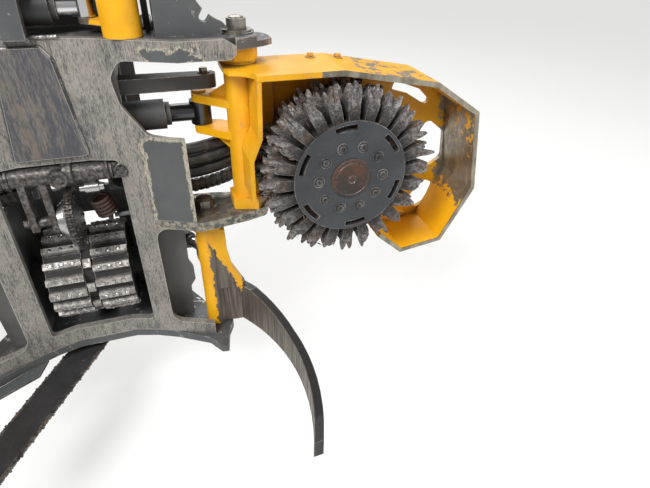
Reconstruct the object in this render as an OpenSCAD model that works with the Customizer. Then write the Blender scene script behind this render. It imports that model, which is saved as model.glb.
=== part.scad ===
// Harvester head that grips, feeds, delimbs, measures and saws a stem.
// It stands upright: +Z is up, -Y is the open side that takes the stem, +X is the right arm's side.
// The origin is the centre of the rotator flange on the tilt frame. Every sub-part is drawn from the
// bottom of the front skin's centre line and moved by in_head() to that origin.
// The hinges of the arms and knives are vertical, and a negative turn about +Z closes the right one.

/* [Front skin] */
// Height of the skin
skin_h = 930; // [900:1:980]
// Thickness of the skin and of the plates welded to it
skin_t = 22; // [16:1:26]
// Half width of the flat middle of the skin
flat_x = 88; // [70:1:100]
// How far the outer end of the skin stands forward of its middle
wing_y = 100; // [80:1:110]
// Where the skin ends, below its top band
wing_x = 333; // [320:1:338]
// Where the top band ends
band_x = 483; // [470:1:490]
// Half width of the window over the inner roller
window_x = 155; // [150:1:160]
// Sill of the window
window_z0 = 50; // [40:1:55]
// Top of the window
window_z1 = 622; // [610:1:626]
// Width of the upright rail beside the window
rail_w = 60; // [50:1:70]
// Half width of the wear plate
wear_x = 86; // [70:1:88]
// Lower edge of the wear plate
wear_z = 640; // [630:1:700]
// Thickness of the wear plate
wear_t = 10; // [6:1:14]

/* [Plates] */
// Thickness of the top plate
top_t = 27; // [20:1:30]
// Lower face of the lug plate
lug_z = 412; // [405:1:418]
// Thickness of the lug plate
lug_t = 28; // [22:1:32]
// Thickness of the bottom plate
bottom_t = 28; // [20:1:34]
// Where the back plate's inner face lies
back_y = 264; // [262:1:270]
// Thickness of the back plate and side walls
wall_t = 16; // [12:1:18]
// Where the side walls' inner faces lie
wall_x = 178; // [174:1:182]
// Height of the upper plate over the skin, which it ties the upper knives to
upper_rise = 352; // [346:1:370]

/* [Feed arms] */
// Distance of the arm's hinge from the middle
arm_x = 500; // [495:1:506]
// Fore and aft place of the arm's hinge
arm_y = -15; // [-18:1:-12]
// Radius of the arm's hinge tube
post_r = 43; // [40:1:46]
// Radius of the arm's hinge pin
pin_r = 25; // [20:1:28]
// Reach from the hinge to the feed roller's axis
roller_x = 246; // [240:1:252]
// Height of the feed roller's axis
roller_z = 590; // [585:1:598]
// Sideways offset of the arm cylinder's pin from the hinge
ear_x = -105; // [-112:1:-98]
// Backward offset of the arm cylinder's pin from the hinge
ear_y = 88; // [84:1:92]
// Height of the arm cylinder
arm_cyl_z = 706; // [702:1:710]
// Depth of the guard's rim in front of the hinge
rim_y = -155; // [-160:1:-145]
// Thickness of the guard's sheet
guard_t = 12; // [8:1:14]

/* [Feed rollers] */
// Radius over the spikes
spike_r = 244; // [236:1:246]
// Radius of the drum under the spikes
drum_r = 150; // [140:1:156]
// Width of the roller
roller_w = 216; // [200:1:220]
// Number of spiked bars round the drum
bar_count = 24; // [18:1:28]
// Radius of the gear hub's cap
cap_r = 57; // [48:1:62]
// Radius of the hub's bolt circle
hub_bolt_r = 92; // [86:1:96]

/* [Inner roller] */
// Radius over the ribs
inner_r = 145; // [135:1:148]
// Half width of the inner roller
inner_half_w = 118; // [110:1:122]
// Height of the inner roller's axis
inner_z = 208; // [204:1:212]
// Fore and aft place of the inner roller's axis
inner_y = 110; // [106:1:112]
// Number of ribs round each half
rib_count = 18; // [14:1:20]

/* [Measuring gear] */
// Height of the measuring arm's pivot
measure_z = 588; // [584:1:590]
// Fore and aft place of the measuring arm's pivot
measure_y = 12; // [8:1:16]
// Radius of the measuring wheel
wheel_r = 92; // [84:1:94]
// Drop from the pivot to the measuring wheel's axis
wheel_drop = 138; // [134:1:142]

/* [Knives] */
// Distance of the lower knife's hinge from the middle
low_x = 365; // [362:1:370]
// Fore and aft place of the lower knife's hinge
low_y = -20; // [-24:1:-18]
// Radius of the lower knife's hinge tube
low_tube_r = 38; // [34:1:40]
// Thickness of the knives' blades
blade_t = 26; // [20:1:28]
// Distance of the upper knife's hinge from the middle
up_x = 230; // [226:1:234]
// Fore and aft place of the upper knife's hinge
up_y = -10; // [-14:1:-8]
// Radius of the upper knife's hinge tube
up_tube_r = 45; // [40:1:47]
// Height of the upper knives' cylinder over the skin
up_cyl_rise = 58; // [54:1:62]

/* [Saw] */
// Length of the saw bar past its pivot
bar_l = 700; // [600:1:740]
// Width of the saw bar
bar_w = 96; // [80:1:104]
// Turn of the saw bar at rest, from +X
bar_turn = -119; // [-122:1:-116]
// Fore and aft place of the saw's pivot
saw_y = 171; // [166:1:176]
// Height of the saw bar's middle
saw_z = -62; // [-66:1:-60]

/* [Tilt frame] */
// Fore and aft place of the flange and of the tilt pin
flange_y = 330; // [326:1:336]
// Height of the flange's upper face
flange_z = 1500; // [1480:1:1540]
// Height of the tilt pin
tilt_z = 820; // [815:1:825]
// Radius of the tilt pin
tilt_pin_r = 30; // [28:1:34]
// Pitch circle radius of the flange's bolts
bolt_pc_r = 115; // [110:1:125]
// Radius of the flange's bolt holes
bolt_r = 8.75; // [7:0.25:10]
// Number of the flange's bolts
bolt_count = 12; // [8:1:12]

/* [Hidden] */
$fn = 48;
// Clearance of a pin in its bore and of a flat face beside a moving one
fit = 0.06;
gap = 0.5;
seam = 0.3;
yellow = "#f0ad1c";
grey = "#565b5f";
dark = "#2c2e31";
steel = "#7d7974";
worn = "#8b8078";
rubber = "#1c1d1e";
tilt_lug = [457, 693];
tilt_lug_r = 22;
tilt_top = [457, 1425];
tilt_eye_w = 60;
lug_top = lug_z + lug_t;
top_z = skin_h - top_t;
upper_z = skin_h + upper_rise;
up_cyl_z = skin_h + up_cyl_rise;
wall_out = wall_x + wall_t;
back_out = back_y + wall_t;
rail_x = window_x + rail_w;
// Front line of the skin in plan, from the middle outwards
front_line = [[0, 0], [flat_x, 0], [window_x, -20], [rail_x + 8, -0.5 * wing_y],
    [wing_x + 7, -wing_y], [band_x, -wing_y + 3]];

// Vector helpers and the arc of radius r that rounds corner p between its neighbours
function unit(v) = v / norm(v);
function cross2(a, b) = a[0] * b[1] - a[1] * b[0];
function corner(a, p, b, r, n) =
    r < 0.01 ? [p] :
    let (u = unit(a - p), v = unit(b - p), half = acos(u * v) / 2, c = p + unit(u + v) * r / sin(half))
    let (s = p + u * r / tan(half) - c, start = atan2(s[1], s[0]))
    let (sweep = (cross2(u, v) > 0 ? -1 : 1) * (180 - 2 * half))
    [for (i = [0:n]) c + r * [cos(start + sweep * i / n), sin(start + sweep * i / n)]];
// Outline with each corner rounded by its own radius, or all by one
function rounded(pts, r, n = 5) =
    let (m = len(pts))
    [for (i = [0:m - 1]) each corner(pts[(i + m - 1) % m], pts[i], pts[(i + 1) % m],
        is_list(r) ? r[i] : r, n)];
function reversed(pts) = [for (i = [len(pts) - 1:-1:0]) pts[i]];
function shifted(pts, d) = [for (p = pts) p + d];
function flipped(pts) = [for (p = pts) [-p[0], p[1]]];
// Points of an arc about c from angle a0 to a1
function arc(c, r, a0, a1, n) = [for (i = [0:n]) c + r * [cos(a0 + (a1 - a0) * i / n),
    sin(a0 + (a1 - a0) * i / n)]];
// A half outline in plan completed by its mirror image
function both_halves(right) = concat(right, reversed(flipped(right)));

module in_head() translate([0, -flange_y, -flange_z]) children();
module in_arm(side) in_head() mirror([side > 0 ? 0 : 1, 0, 0]) translate([arm_x, arm_y, 0]) children();
module in_low(side) in_head() mirror([side > 0 ? 0 : 1, 0, 0]) translate([low_x, low_y, 0]) children();
module in_up(side) in_head() mirror([side > 0 ? 0 : 1, 0, 0]) translate([up_x, up_y, 0]) children();
module both_sides() { children(); mirror([1, 0, 0]) children(); }
module level(z0, z1) translate([0, 0, z0]) linear_extrude(z1 - z0) children();
module through_y(y0, y1) translate([0, y1, 0]) rotate([90, 0, 0]) linear_extrude(y1 - y0) children();
module through_x(x0, x1) translate([x0, 0, 0]) rotate([90, 0, 90]) linear_extrude(x1 - x0) children();
module rod_x(r, x0, x1, y = 0, z = 0) translate([x0, y, z]) rotate([0, 90, 0]) cylinder(r = r, h = x1 - x0);
module rod_y(r, y0, y1, x = 0, z = 0) translate([x, y1, z]) rotate([90, 0, 0]) cylinder(r = r, h = y1 - y0);
module rod_z(r, z0, z1, x = 0, y = 0) translate([x, y, z0]) cylinder(r = r, h = z1 - z0);

// Front skin: a shallow V in plan, cut through for the roller's window, the knife bays and the arm cylinder
module skin_plan_2d() polygon(concat(flipped(reversed(front_line)), front_line,
    reversed(shifted(front_line, [0, skin_t])), flipped(shifted(front_line, [0, skin_t]))));
module face_2d() difference() {
    polygon([[0, 0], [wing_x + 10, 0], [wing_x + 10, window_z0 - 5], [wing_x, window_z0], [wing_x,
        skin_h - 70],
        [band_x - 22, skin_h - 54], [band_x, skin_h - 36], [band_x, skin_h - 16], [band_x - 28, skin_h],
        [0, skin_h]]);
    polygon(rounded([[-1, window_z0], [window_x, window_z0], [window_x, window_z1], [-1, window_z1]],
        [0, 14, 10, 0]));
    polygon(rounded([[rail_x, window_z0 - 5], [wing_x + 90, window_z0 - 5], [wing_x + 90, lug_z], [rail_x,
        lug_z]],
        [34, 0, 0, 42]));
    translate([rail_x + 2, lug_z - 0.1]) square([200, lug_t + 0.1]);
    polygon(rounded([[band_x + 10, 688], [band_x + 10, skin_h - 48], [205, skin_h - 48], [181, 838], [191,
        773],
        [246, 694], [300, 688]], [0, 0, 34, 30, 30, 34, 10]));
}
module front_skin() color(grey) in_head() difference() {
    intersection() {
        level(0, skin_h) skin_plan_2d();
        through_y(-wing_y - 5, skin_t + 5) union() { face_2d(); mirror([1, 0]) face_2d(); }
    }
    both_sides() rod_z(pin_r + fit, top_z - 20, skin_h + 1, up_x, up_y);
}
module wear_plate() color(worn) in_head() through_y(-wear_t, 0) polygon(rounded([[-wear_x, wear_z],
    [wear_x, wear_z], [wear_x - 26, skin_h - 46], [wear_x - 44, skin_h - 18], [-wear_x + 44, skin_h - 18],
    [-wear_x + 26, skin_h - 46]], 6, 2));

// Top plate: closes the frame above the arms and carries their hinge pins in its stepped tips
top_half = concat(shifted([for (i = [1:5]) front_line[i]], [0, skin_t]), [[band_x + fit,
    skin_t - wing_y + 3],
    [band_x + fit, 5 - wing_y], [558, -64], [583, -44]], arc([arm_x + 15, arm_y], 68, 0, 62, 5),
    [[430, 92], [300, 150], [wall_out + 40, back_y - 1]]);
module top_plate() color(grey) in_head() difference() {
    level(top_z, skin_h) polygon(both_halves(top_half));
    both_sides() translate([arm_x + 40, -wing_y, skin_h - 12]) cube([60, 2 * wing_y, 13]);
    both_sides() rod_z(pin_r + fit, top_z - 1, skin_h + 1, arm_x, arm_y);
    both_sides() rod_z(pin_r + fit, top_z - 1, skin_h + 1, up_x, up_y);
}

// Lug plates: carry the feet of the arms' pins and the tops of the lower knives' pins
lug_half = rounded([[rail_x + 2, -48], [wing_x + 12, -wing_y - 6], [arm_x - 16, -wing_y + 17],
    [arm_x + 44, -64],
    [arm_x + 62, arm_y], [arm_x + 40, 44], [low_x + 40, 74], [wall_out, 96], [wall_out, -14.5],
        [rail_x + 2, -24.6]],
    [0, 20, 30, 22, 40, 30, 30, 0, 0, 0]);
module lug_plates() color(grey) in_head() both_sides() difference() {
    level(lug_z, lug_top) polygon(lug_half);
    rod_z(pin_r + fit, lug_z - 1, lug_top + 1, arm_x, arm_y);
    rod_z(pin_r + fit, lug_z - 1, lug_top + 1, low_x, low_y);
}

// Bottom plate: the sill under the frame, with a horn in front of each lower knife
bottom_half = rounded([[0, 0], [flat_x, 0], [window_x, -20], [rail_x + 8, -52], [320, -112], [352, -162],
    [374, -166], [388, -96], [410, -50], [404, 34], [340, 60], [wall_out + 30, back_out], [0, back_out]],
    [0, 0, 0, 10, 20, 8, 6, 20, 40, 40, 20, 10, 0]);
module bottom_plate() color(grey) in_head() difference() {
    level(-bottom_t, -0.02) polygon(both_halves(bottom_half));
    both_sides() rod_z(pin_r + fit, -bottom_t - 1, 1, low_x, low_y);
    rod_z(34, -bottom_t - 1, 1, 0, saw_y);
}

// Side walls: the frame's two upright plates, with windows for the hoses and the arm cylinder
module wall_2d() difference() {
    polygon([[-7.8, 0], [back_y - seam, 0], [back_y - seam, top_z], [-7.8, top_z]]);
    polygon(rounded([[34, 452], [150, 452], [150, 634], [34, 634]], 24));
    polygon(rounded([[20, 650], [192, 650], [192, stop_z1 + 0.3], [20, stop_z1 + 0.3]], [20, 20, 20, 4]));
    translate([207, 560]) circle(r = 36);
    translate([inner_y, inner_z]) circle(r = 46 + fit);
}
module side_walls() color(grey) in_head() {
    both_sides() through_x(wall_x, wall_out) wall_2d();
    rod_x(7, 106, wall_x, spring_foot[1], spring_foot[2]);
}

// Back frame: the plate at the back, with the lugs of the tilt pin and of the cylinders
module back_2d() difference() {
    polygon(rounded([[-232, 0], [232, 0], [232, skin_h], [-232, skin_h]], [30, 30, 0, 0]));
    for (s = [-1, 1]) translate([s * 96, 500]) polygon(rounded([[-50, -80], [50, -80], [50, 80], [-50,
        80]], 30));
    polygon(rounded([[-90, 90], [90, 90], [90, 330], [-90, 330]], 30));
}
module back_frame() color(grey) in_head() {
    through_y(back_y, back_out) back_2d();
    both_sides() difference() {
        through_x(108, 138) polygon(rounded([[back_out, tilt_z - 110], [back_out, tilt_z + 90],
            [flange_y + 52, tilt_z + 52], [flange_y + 52, tilt_z - 52]], [0, 0, 50, 50], 8));
        rod_x(tilt_pin_r + fit, 100, 150, flange_y, tilt_z);
    }
    both_sides() {
        through_x(tilt_eye_w / 2 + gap, tilt_eye_w / 2 + gap + 18) polygon(rounded([[back_out, 560],
            [back_out, 800],
            [490, 726], [490, 660]], [0, 0, 32, 32]));
        rod_x(tilt_lug_r + 6, tilt_eye_w / 2 + gap + 17, tilt_eye_w / 2 + gap + 25, tilt_lug[0],
            tilt_lug[1]);
        knife_lug(knife_cyl_z - knife_eye_w / 2 - gap - 16);
        knife_lug(knife_cyl_z + knife_eye_w / 2 + gap);
    }
    both_sides() translate([98, 151, 454]) cube([64, back_y - 151, 178]);
}
module knife_lug(z) difference() {
    level(z, z + 16) polygon(concat([[knife_foot[0] - 24, back_y]], arc(knife_foot, 24, 180, 360, 8),
        [[knife_foot[0] + 24, back_y]]));
    rod_z(knife_pin_r + fit, z - 1, z + 17, knife_foot[0], knife_foot[1]);
}

// Bay plates: the notched plates behind the lower knives' hinges
module bay_plates() color(grey) in_head() both_sides() through_y(30, 42) polygon(rounded([[wall_out + 0.3,
    0.3],
    [286, 0.3], [290, 120], [307, 146], [306, 196], [294, 226], [298, lug_z - 0.3], [wall_out + 0.3,
        lug_z - 0.3]],
    [0, 8, 6, 12, 12, 10, 20, 0]));

// Stop bar: a flat bar across the frame above the arm cylinder
bar_end_x = 444;
stop_z0 = 780;
stop_z1 = 818;
module stop_bar() color(grey) in_head() difference() {
    level(stop_z0, stop_z1) polygon(both_halves([[60, 26], [bar_end_x - 44, 26], [bar_end_x - 20, 28],
        [bar_end_x - 4, 38],
        [bar_end_x, 54], [bar_end_x - 8, 68], [wall_out + 30, 76], [60, 76]]));
    both_sides() rod_z(12, stop_z0 - 1, stop_z1 + 1, bar_end_x - 32, 50);
}

// Gussets: upright plates with a slot on the top plate's outer ends, swept down to the arms' pins
module gusset(top) {
    through_y(-48, -30) difference() {
        intersection() {
            polygon(concat([[303, skin_h + 0.3], [487, skin_h + 0.3]], arc([500, 1060], 108, 250, 196, 8),
                [[372, 1150], [334, 1150]], arc([333, 1120], 30, 120, 180, 3)));
            translate([300, skin_h]) square([200, top - skin_h]);
        }
        translate([425, 984]) rotate(58) polygon(rounded([[-24, -10], [24, -10], [24, 10], [-24, 10]],
            9.5));
        translate([arm_x - 42, skin_h]) square([50, 14]);
    }
    through_x(303, 319) polygon([[-30, skin_h + 0.3], [140, skin_h + 0.3], [140, 960], [0, top], [-30,
        top]]);
}
module gussets() color(grey) in_head() {
    gusset(1150);
    mirror([1, 0, 0]) gusset(1052);
}

// Upper frame: side plates, the plate over the upper knives and the spine in the middle
upper_half = rounded([[0, -24], [60, -24], [up_x - 40, -66], [up_x + 36, -70], [300, -30], [300,
    back_y - 20],
    [250, back_out - 4], [0, back_out - 4]], [0, 10, 30, 40, 40, 30, 20, 0]);
module upper_frame() color(grey) in_head() {
    difference() {
        level(upper_z, upper_z + 22) polygon(both_halves(upper_half));
        both_sides() rod_z(pin_r + fit, upper_z - 1, upper_z + 23, up_x, up_y);
    }
    both_sides() through_x(280, 296) difference() {
        polygon([[56, skin_h + 0.3], [244, skin_h + 0.3], [244, upper_z], [40, upper_z], [40, 1120]]);
        translate([150, 1090]) circle(r = 48);
    }
    through_y(-24, 4) polygon([[-24, skin_h + 0.3], [24, skin_h + 0.3], [40, upper_z], [-40, upper_z]]);
}
// Fixed knife over the upper plate, hollowed to the stem in front and bevelled to an edge on top
module top_knife() color(steel) in_head() difference() {
    level(upper_z + 22.3, upper_z + 76) polygon(concat([[190, 30], [120, 70], [-120, 70], [-190, 30],
        [-190, -66]],
        arc([0, -250], 226, 128, 52, 12), [[190, -66]]));
    translate([0, -250, upper_z + 40]) cylinder(r1 = 224, r2 = 252, h = 37);
}
module valve_cover() color(dark) in_head() difference() {
    through_x(-248, 248) polygon(rounded([[150, skin_h + 0.3], [back_y - 6, skin_h + 0.3], [back_y - 6,
        upper_z - 20],
        [200, upper_z - 20], [150, upper_z - 92]], [0, 0, 24, 24, 24]));
    for (s = [-1, 1]) translate([s * 120, 0, 0]) through_y(146, 156) polygon(rounded([[-60, skin_h + 60],
        [60, skin_h + 60], [60, upper_z - 132], [-60, upper_z - 132]], 12));
}

// Saw box: a skirt round the back of the saw under the bottom plate, with a deflector under the left horn
module saw_box() color(grey) in_head() {
    difference() {
        level(-150, -bottom_t - 0.02) polygon(rounded([[-262, 60], [-262, back_out], [262, back_out],
            [262, 80]], [2, 30, 30, 2]));
        level(-151, -bottom_t + 1) polygon(rounded([[-263, -10], [-250, back_out - 12], [250,
            back_out - 12],
            [250, 40]], [0, 20, 20, 0]));
        level(-110, -bottom_t) polygon([[-270, 0], [-240, 0], [-240, back_out - 40], [-270,
            back_out - 40]]);
    }
    difference() {
        rod_z(52, -50, -bottom_t - 0.02, 0, saw_y);
        rod_z(34, -60, 0, 0, saw_y);
    }
    translate([0, 0, -bottom_t - 8.05]) linear_extrude(8) polygon([[-200, 0], [-214, -46], [-318, -112],
        [-350, -160], [-330, -164],
        [-205, -92], [-186, -30]]);
}
module saw_motor() color(dark) in_head() {
    difference() {
        rod_z(34 - fit, -49, 48, 0, saw_y);
        rod_z(16 + fit, -50, -14, 0, saw_y);
    }
}

module hinge_pins() color(steel) in_head() both_sides() {
    rod_z(pin_r, lug_z + 2, skin_h + 34, arm_x, arm_y);
    translate([arm_x, arm_y, skin_h + 0.3]) cylinder(r = 38, h = 8);
    translate([arm_x, arm_y, skin_h + 8.3]) cylinder(r = 22, h = 24, $fn = 6);
    rod_z(pin_r, -bottom_t + 2, lug_top + 34, low_x, low_y);
    translate([low_x, low_y, lug_top + 0.3]) cylinder(r = 38, h = 8);
    translate([low_x, low_y, lug_top + 8.3]) cylinder(r = 27, h = 24, $fn = 6);
    rod_z(pin_r, top_z + 2, upper_z + 20, up_x, up_y);
}

// Measuring pin: the fixed pin of the measuring arm in its two square blocks
measure_pin_r = 14;
module measuring_pin() color(steel) in_head() {
    rod_x(measure_pin_r, -150, 150, measure_y, measure_z);
    for (s = [-1, 1]) through_x(s > 0 ? 136 : -154.5, s > 0 ? 154.5 : -136) polygon(rounded([[-12,
        measure_z - 22],
        [34, measure_z - 22], [34, measure_z + 26], [-12, measure_z + 26]], 5));
}

// Hoses: tubes swept along hand-set points from the side wall to the feed motor
hose_r = 17.5;
hose_routes = [[[130, 150.7, 608], [130, 134, 608], [150, 116, 607], [190, 104, 604], [240, 86, 599],
    [290, 72, 596],
    [342, 66, 596], [400, 70, 602], [450, 80, 610], [500, 106, 617], [570, 156, 624], [640, 196, 628],
    [690, 208, 628], [716, 190, 628], [716, 160.3, 628]],
    [[130, 150.7, 570], [130, 134, 570], [150, 116, 569], [190, 102, 567], [240, 84, 563], [290, 70, 560],
    [342, 64, 559], [400, 68, 565], [450, 78, 573], [500, 106, 580], [570, 162, 588], [640, 222, 598],
    [700, 250, 610], [752, 240, 622], [776, 204, 628], [776, 160.3, 628]],
    [[130, 150.7, 532], [130, 134, 532], [150, 116, 531], [190, 102, 530], [240, 84, 526], [290, 70, 523],
    [342, 64, 522], [400, 68, 528], [450, 78, 536], [500, 104, 542], [570, 152, 548], [640, 192, 552],
    [690, 206, 552], [716, 188, 552], [716, 160.3, 552]],
    [[130, 150.7, 490], [130, 134, 490], [150, 116, 489], [190, 104, 487], [240, 86, 482], [290, 72, 479],
    [342, 66, 478], [400, 70, 483], [450, 80, 490], [500, 108, 496], [570, 166, 500], [640, 224, 508],
    [700, 250, 522], [752, 238, 540], [776, 202, 552], [776, 160.3, 552]]];
hose_radii = [hose_r, hose_r, hose_r, 21];
hose_sides = 10;
function ring(p, t, r) =
    let (u = unit(cross(t, [0, 0, 1])), v = cross(u, t))
    [for (k = [0:hose_sides - 1]) p + r * (cos(360 * k / hose_sides) * u + sin(360 * k / hose_sides) * v)];
module tube(path, r) {
    n = len(path);
    m = hose_sides;
    pts = [for (i = [0:n - 1]) each ring(path[i], unit(path[min(i + 1, n - 1)] - path[max(i - 1, 0)]), r)];
    sides = [for (i = [0:n - 2], k = [0:m - 1]) each [[i * m + k, i * m + (k + 1) % m, (i + 1) * m + k],
        [i * m + (k + 1) % m, (i + 1) * m + (k + 1) % m, (i + 1) * m + k]]];
    ends = [[for (k = [m - 1:-1:0]) k], [for (k = [0:m - 1]) (n - 1) * m + k]];
    polyhedron(pts, concat(sides, ends));
}
module hoses(side) color(rubber) in_head() mirror([side > 0 ? 0 : 1, 0, 0])
    for (i = [0:len(hose_routes) - 1]) tube(hose_routes[i], hose_radii[i]);
module right_hoses() hoses(1);
module left_hoses() hoses(-1);

// Feed arm: hinge tube with a collar, two ears for the cylinder and the web that carries the guard
post_z0 = lug_top + gap;
post_z1 = top_z - gap;
ear_z = [arm_cyl_z - 45, arm_cyl_z + 45];
web_t = 22;
flange_t = 34;
module feed_arm(side) color(yellow) in_arm(side) difference() {
    union() {
        rod_z(post_r, post_z0, post_z1);
        level(post_z0, post_z0 + 36) polygon(arc([0, 0], 62, 0, 288, 4));
        level(post_z1 - flange_t, post_z1) polygon([[-118, 20], [-60, -30], [-20, -50], [28, -47], [46,
            -20],
            [46, 30], [0, 62], [-60, 100], [-112, 84]]);
        for (z = ear_z) level(z - 11, z + 11) polygon(rounded([[-24, -34], [10, -30], [10, 40], [-50, 100],
            [ear_x + 4, ear_y + 24], [ear_x - 22, ear_y + 12], [ear_x - 22, ear_y - 22]], [0, 0, 0, 40,
                22, 20, 22]));
        rotate(atan2(ear_y, ear_x)) through_y(-web_t / 2, web_t / 2) {
            polygon([[36, ear_z[1]], [96, ear_z[1]], [96, ear_z[1] + 13], [36, ear_z[1] + 52]]);
            polygon([[36, ear_z[0]], [96, ear_z[0]], [96, ear_z[0] - 13], [36, ear_z[0] - 52]]);
        }
        if (side > 0) for (z = [ear_z[0] - 17, ear_z[1] + 5]) rod_z(arm_eye_pin_r, z, z + 12, ear_x, ear_y);
        level(560, post_z1 - 74.5) polygon([[0, 6], [90, 8], [90, guard_back_y - 0.3], [40,
            guard_back_y - 0.3]]);
    }
    rod_z(pin_r + fit, post_z0 - 1, post_z1 + 1);
    if (side < 0) for (z = ear_z) rod_z(arm_eye_pin_r + fit, z - 12, z + 12, ear_x, ear_y);
}
arm_eye_pin_r = 20;
module right_arm() feed_arm(1);
module left_arm() feed_arm(-1);

// Guard: the tray over the feed roller, its back plate slotted to shed chips
guard_x = 14;
guard_top = post_z1 - flange_t - 9.5;
rim = [[guard_x, guard_top], [240, guard_top], [518, guard_top - 50], [665, guard_top - 144],
    [704, 460], [611, 277], [463, 257], [376, 334]];
inner_rim = [[guard_x, guard_top - 14], [239, guard_top - 14], [512, guard_top - 63],
    [652, guard_top - 152], [689, 464], [602, 289], [467, 271], [386, 345]];
guard_back_y = 20;
module guard_back_2d() difference() {
    polygon(concat(rim, [[330, 350], [246, 372], [120, 430], [40, 520], [-16, 560], [-16, 640],
        [10, 700]]));
    polygon(rounded([[548, 560], [604, 640], [668, 590], [676, 500], [630, 470], [560, 500]], 20));
    polygon(rounded([[560, 350], [620, 420], [662, 400], [640, 330], [600, 310]], 16));
    polygon(rounded([[470, 770], [560, 738], [600, 700], [580, 690], [520, 726], [460, 744]], 8));
    translate([roller_x, roller_z]) circle(r = 84);
}
module guard(side) color(yellow) in_arm(side) difference() {
    union() {
        through_y(guard_back_y, guard_back_y + 15) guard_back_2d();
        through_y(rim_y, guard_back_y + 1) polygon(concat(rim, reversed(inner_rim)));
        through_y(rim_y + 1, guard_back_y + 1) polygon([[guard_x, guard_top - 1], [guard_x + guard_t,
            guard_top - 1],
            [22, 700], [-4, 640], [-5, 520], [-16, 520], [-16, 640], [10, 700]]);
        level(guard_top - guard_t, guard_top) polygon(concat([[guard_x + 20, guard_back_y + 1],
            [guard_x + 20, rim_y], [guard_x, rim_y]], arc([-50, -160], 66, 10, 84, 6),
            [[-52, -60], [-52, guard_back_y + 1]]));
    }
    rod_z(post_r + 0.3, 500, post_z1, 0, 0);
}
module right_guard() guard(1);
module left_guard() guard(-1);
module feed_motor(side) color(dark) in_arm(side) {
    rod_y(83.5, guard_back_y + 1, guard_back_y + 62, roller_x, roller_z);
    rod_y(66, guard_back_y + 62, guard_back_y + 130, roller_x, roller_z);
    rod_y(44, roller_y0 + 42, guard_back_y + 1, roller_x, roller_z);
    for (x = [-30, 30], z = [-38, 38]) rod_y(24, guard_back_y + 129, guard_back_y + 155, roller_x + x,
        roller_z + z);
}
module right_feed_motor() feed_motor(1);
module left_feed_motor() feed_motor(-1);

// Feed roller: a drum with a slotted face, a rear flange and bars of spikes that alternate by half a step
roller_y0 = guard_back_y - 23 - roller_w;
roller_y1 = guard_back_y - 23;
ring_count = 3;
spike_w = (roller_w - 49) / ring_count;
module spike_2d(root, tip, w) polygon([[root, -w], [tip - 26, -w], [tip, -w * 0.15], [tip, w * 0.15],
    [tip - 26, w], [root, w]]);
module feed_roller(side) color(steel) in_arm(side) translate([roller_x, 0, roller_z]) {
    difference() {
        union() {
            rod_y(drum_r - 18, roller_y0, roller_y1 - 2);
            rod_y(192, roller_y1 - 17, roller_y1 - 2);
            for (k = [0:ring_count - 1], i = [0:bar_count - 1])
                through_y(roller_y0 + 2 + k * spike_w, roller_y0 + 2 + (k + 1) * spike_w)
                    rotate((i + (k % 2) / 2) * 360 / bar_count) spike_2d(drum_r - 24, spike_r, 11);
        }
        difference() {
            rod_y(124, roller_y0 + 16, roller_y1 + 1);
            rod_y(62, roller_y0 + 15, roller_y1 + 2);
        }
        rod_y(44 + fit, roller_y0 + 40, roller_y1 + 1);
        for (a = [38:60:338]) through_y(roller_y0 - 1, roller_y0 + 17) polygon(concat(arc([0, 0], 128,
            a - 13, a + 13, 5),
            arc([0, 0], 113, a + 13, a - 13, 5)));
    }
    rod_y(cap_r, roller_y0 - 8, roller_y0 + 1);
    for (i = [0:9]) rotate([0, 36 * i, 0]) rod_y(11, roller_y0 - 7, roller_y0 + 1, hub_bolt_r, 0);
}
module right_feed_roller() feed_roller(1);
module left_feed_roller() feed_roller(-1);

// Inner roller: two ribbed halves, half a rib apart, on each side of a smooth middle ring
function ribs(r0, r1, n, turn) = [for (i = [0:n - 1]) each [for (s = [[-0.36, r0], [-0.26, r1], [0.1, r1],
    [0.2, r0]])
    s[1] * [cos(turn + (i + s[0]) * 360 / n), sin(turn + (i + s[0]) * 360 / n)]]];
middle_half_w = 15;
module inner_roller() color(steel) in_head() translate([0, inner_y, inner_z]) {
    for (s = [0, 1]) through_x(s ? middle_half_w : -inner_half_w, s ? inner_half_w : -middle_half_w)
        polygon(ribs(inner_r - 17, inner_r, rib_count, s * 180 / rib_count));
    rod_x(inner_r - 24, -middle_half_w, middle_half_w);
    rod_x(46 - fit, -wall_out + 2, wall_out - 2);
}

// Measuring arm: a tube on the pin, with two arms down to the wheel and a lever for the spring
module measuring_arm() color(steel) in_head() translate([0, measure_y, measure_z]) {
    difference() {
        union() {
            rod_x(28, -134, 134);
            for (x = [-96, -44]) through_x(x - 9, x + 9) polygon([[-22, 8], [20, 10], [26, -60], [20,
                -wheel_drop - 20],
                [-20, -wheel_drop - 20], [-24, -60]]);
            through_x(62, 86) polygon([[-20, 8], [20, 8], [42, -50], [36, -80], [16, -80], [-8, -60]]);
        }
        rod_x(measure_pin_r + fit, -140, 140);
        rod_x(15 + fit, -120, -30, 0, -wheel_drop);
    }
}
module measuring_wheel() color(steel) in_head() translate([0, measure_y, measure_z - wheel_drop]) {
    rod_x(15, -106, -33);
    rod_x(34, -34, -8);
    rod_x(54, -8, 4);
    through_x(4, 16) polygon(ribs(wheel_r - 7, wheel_r, 40, 0));
}
spring_top = [74, 38, measure_z - 82];
spring_foot = [94, 48, measure_z - 166];
spring_turns = 5;
spring_pitch = 12;
spring_r = 26;
spring_l = norm(spring_foot - spring_top);
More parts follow.
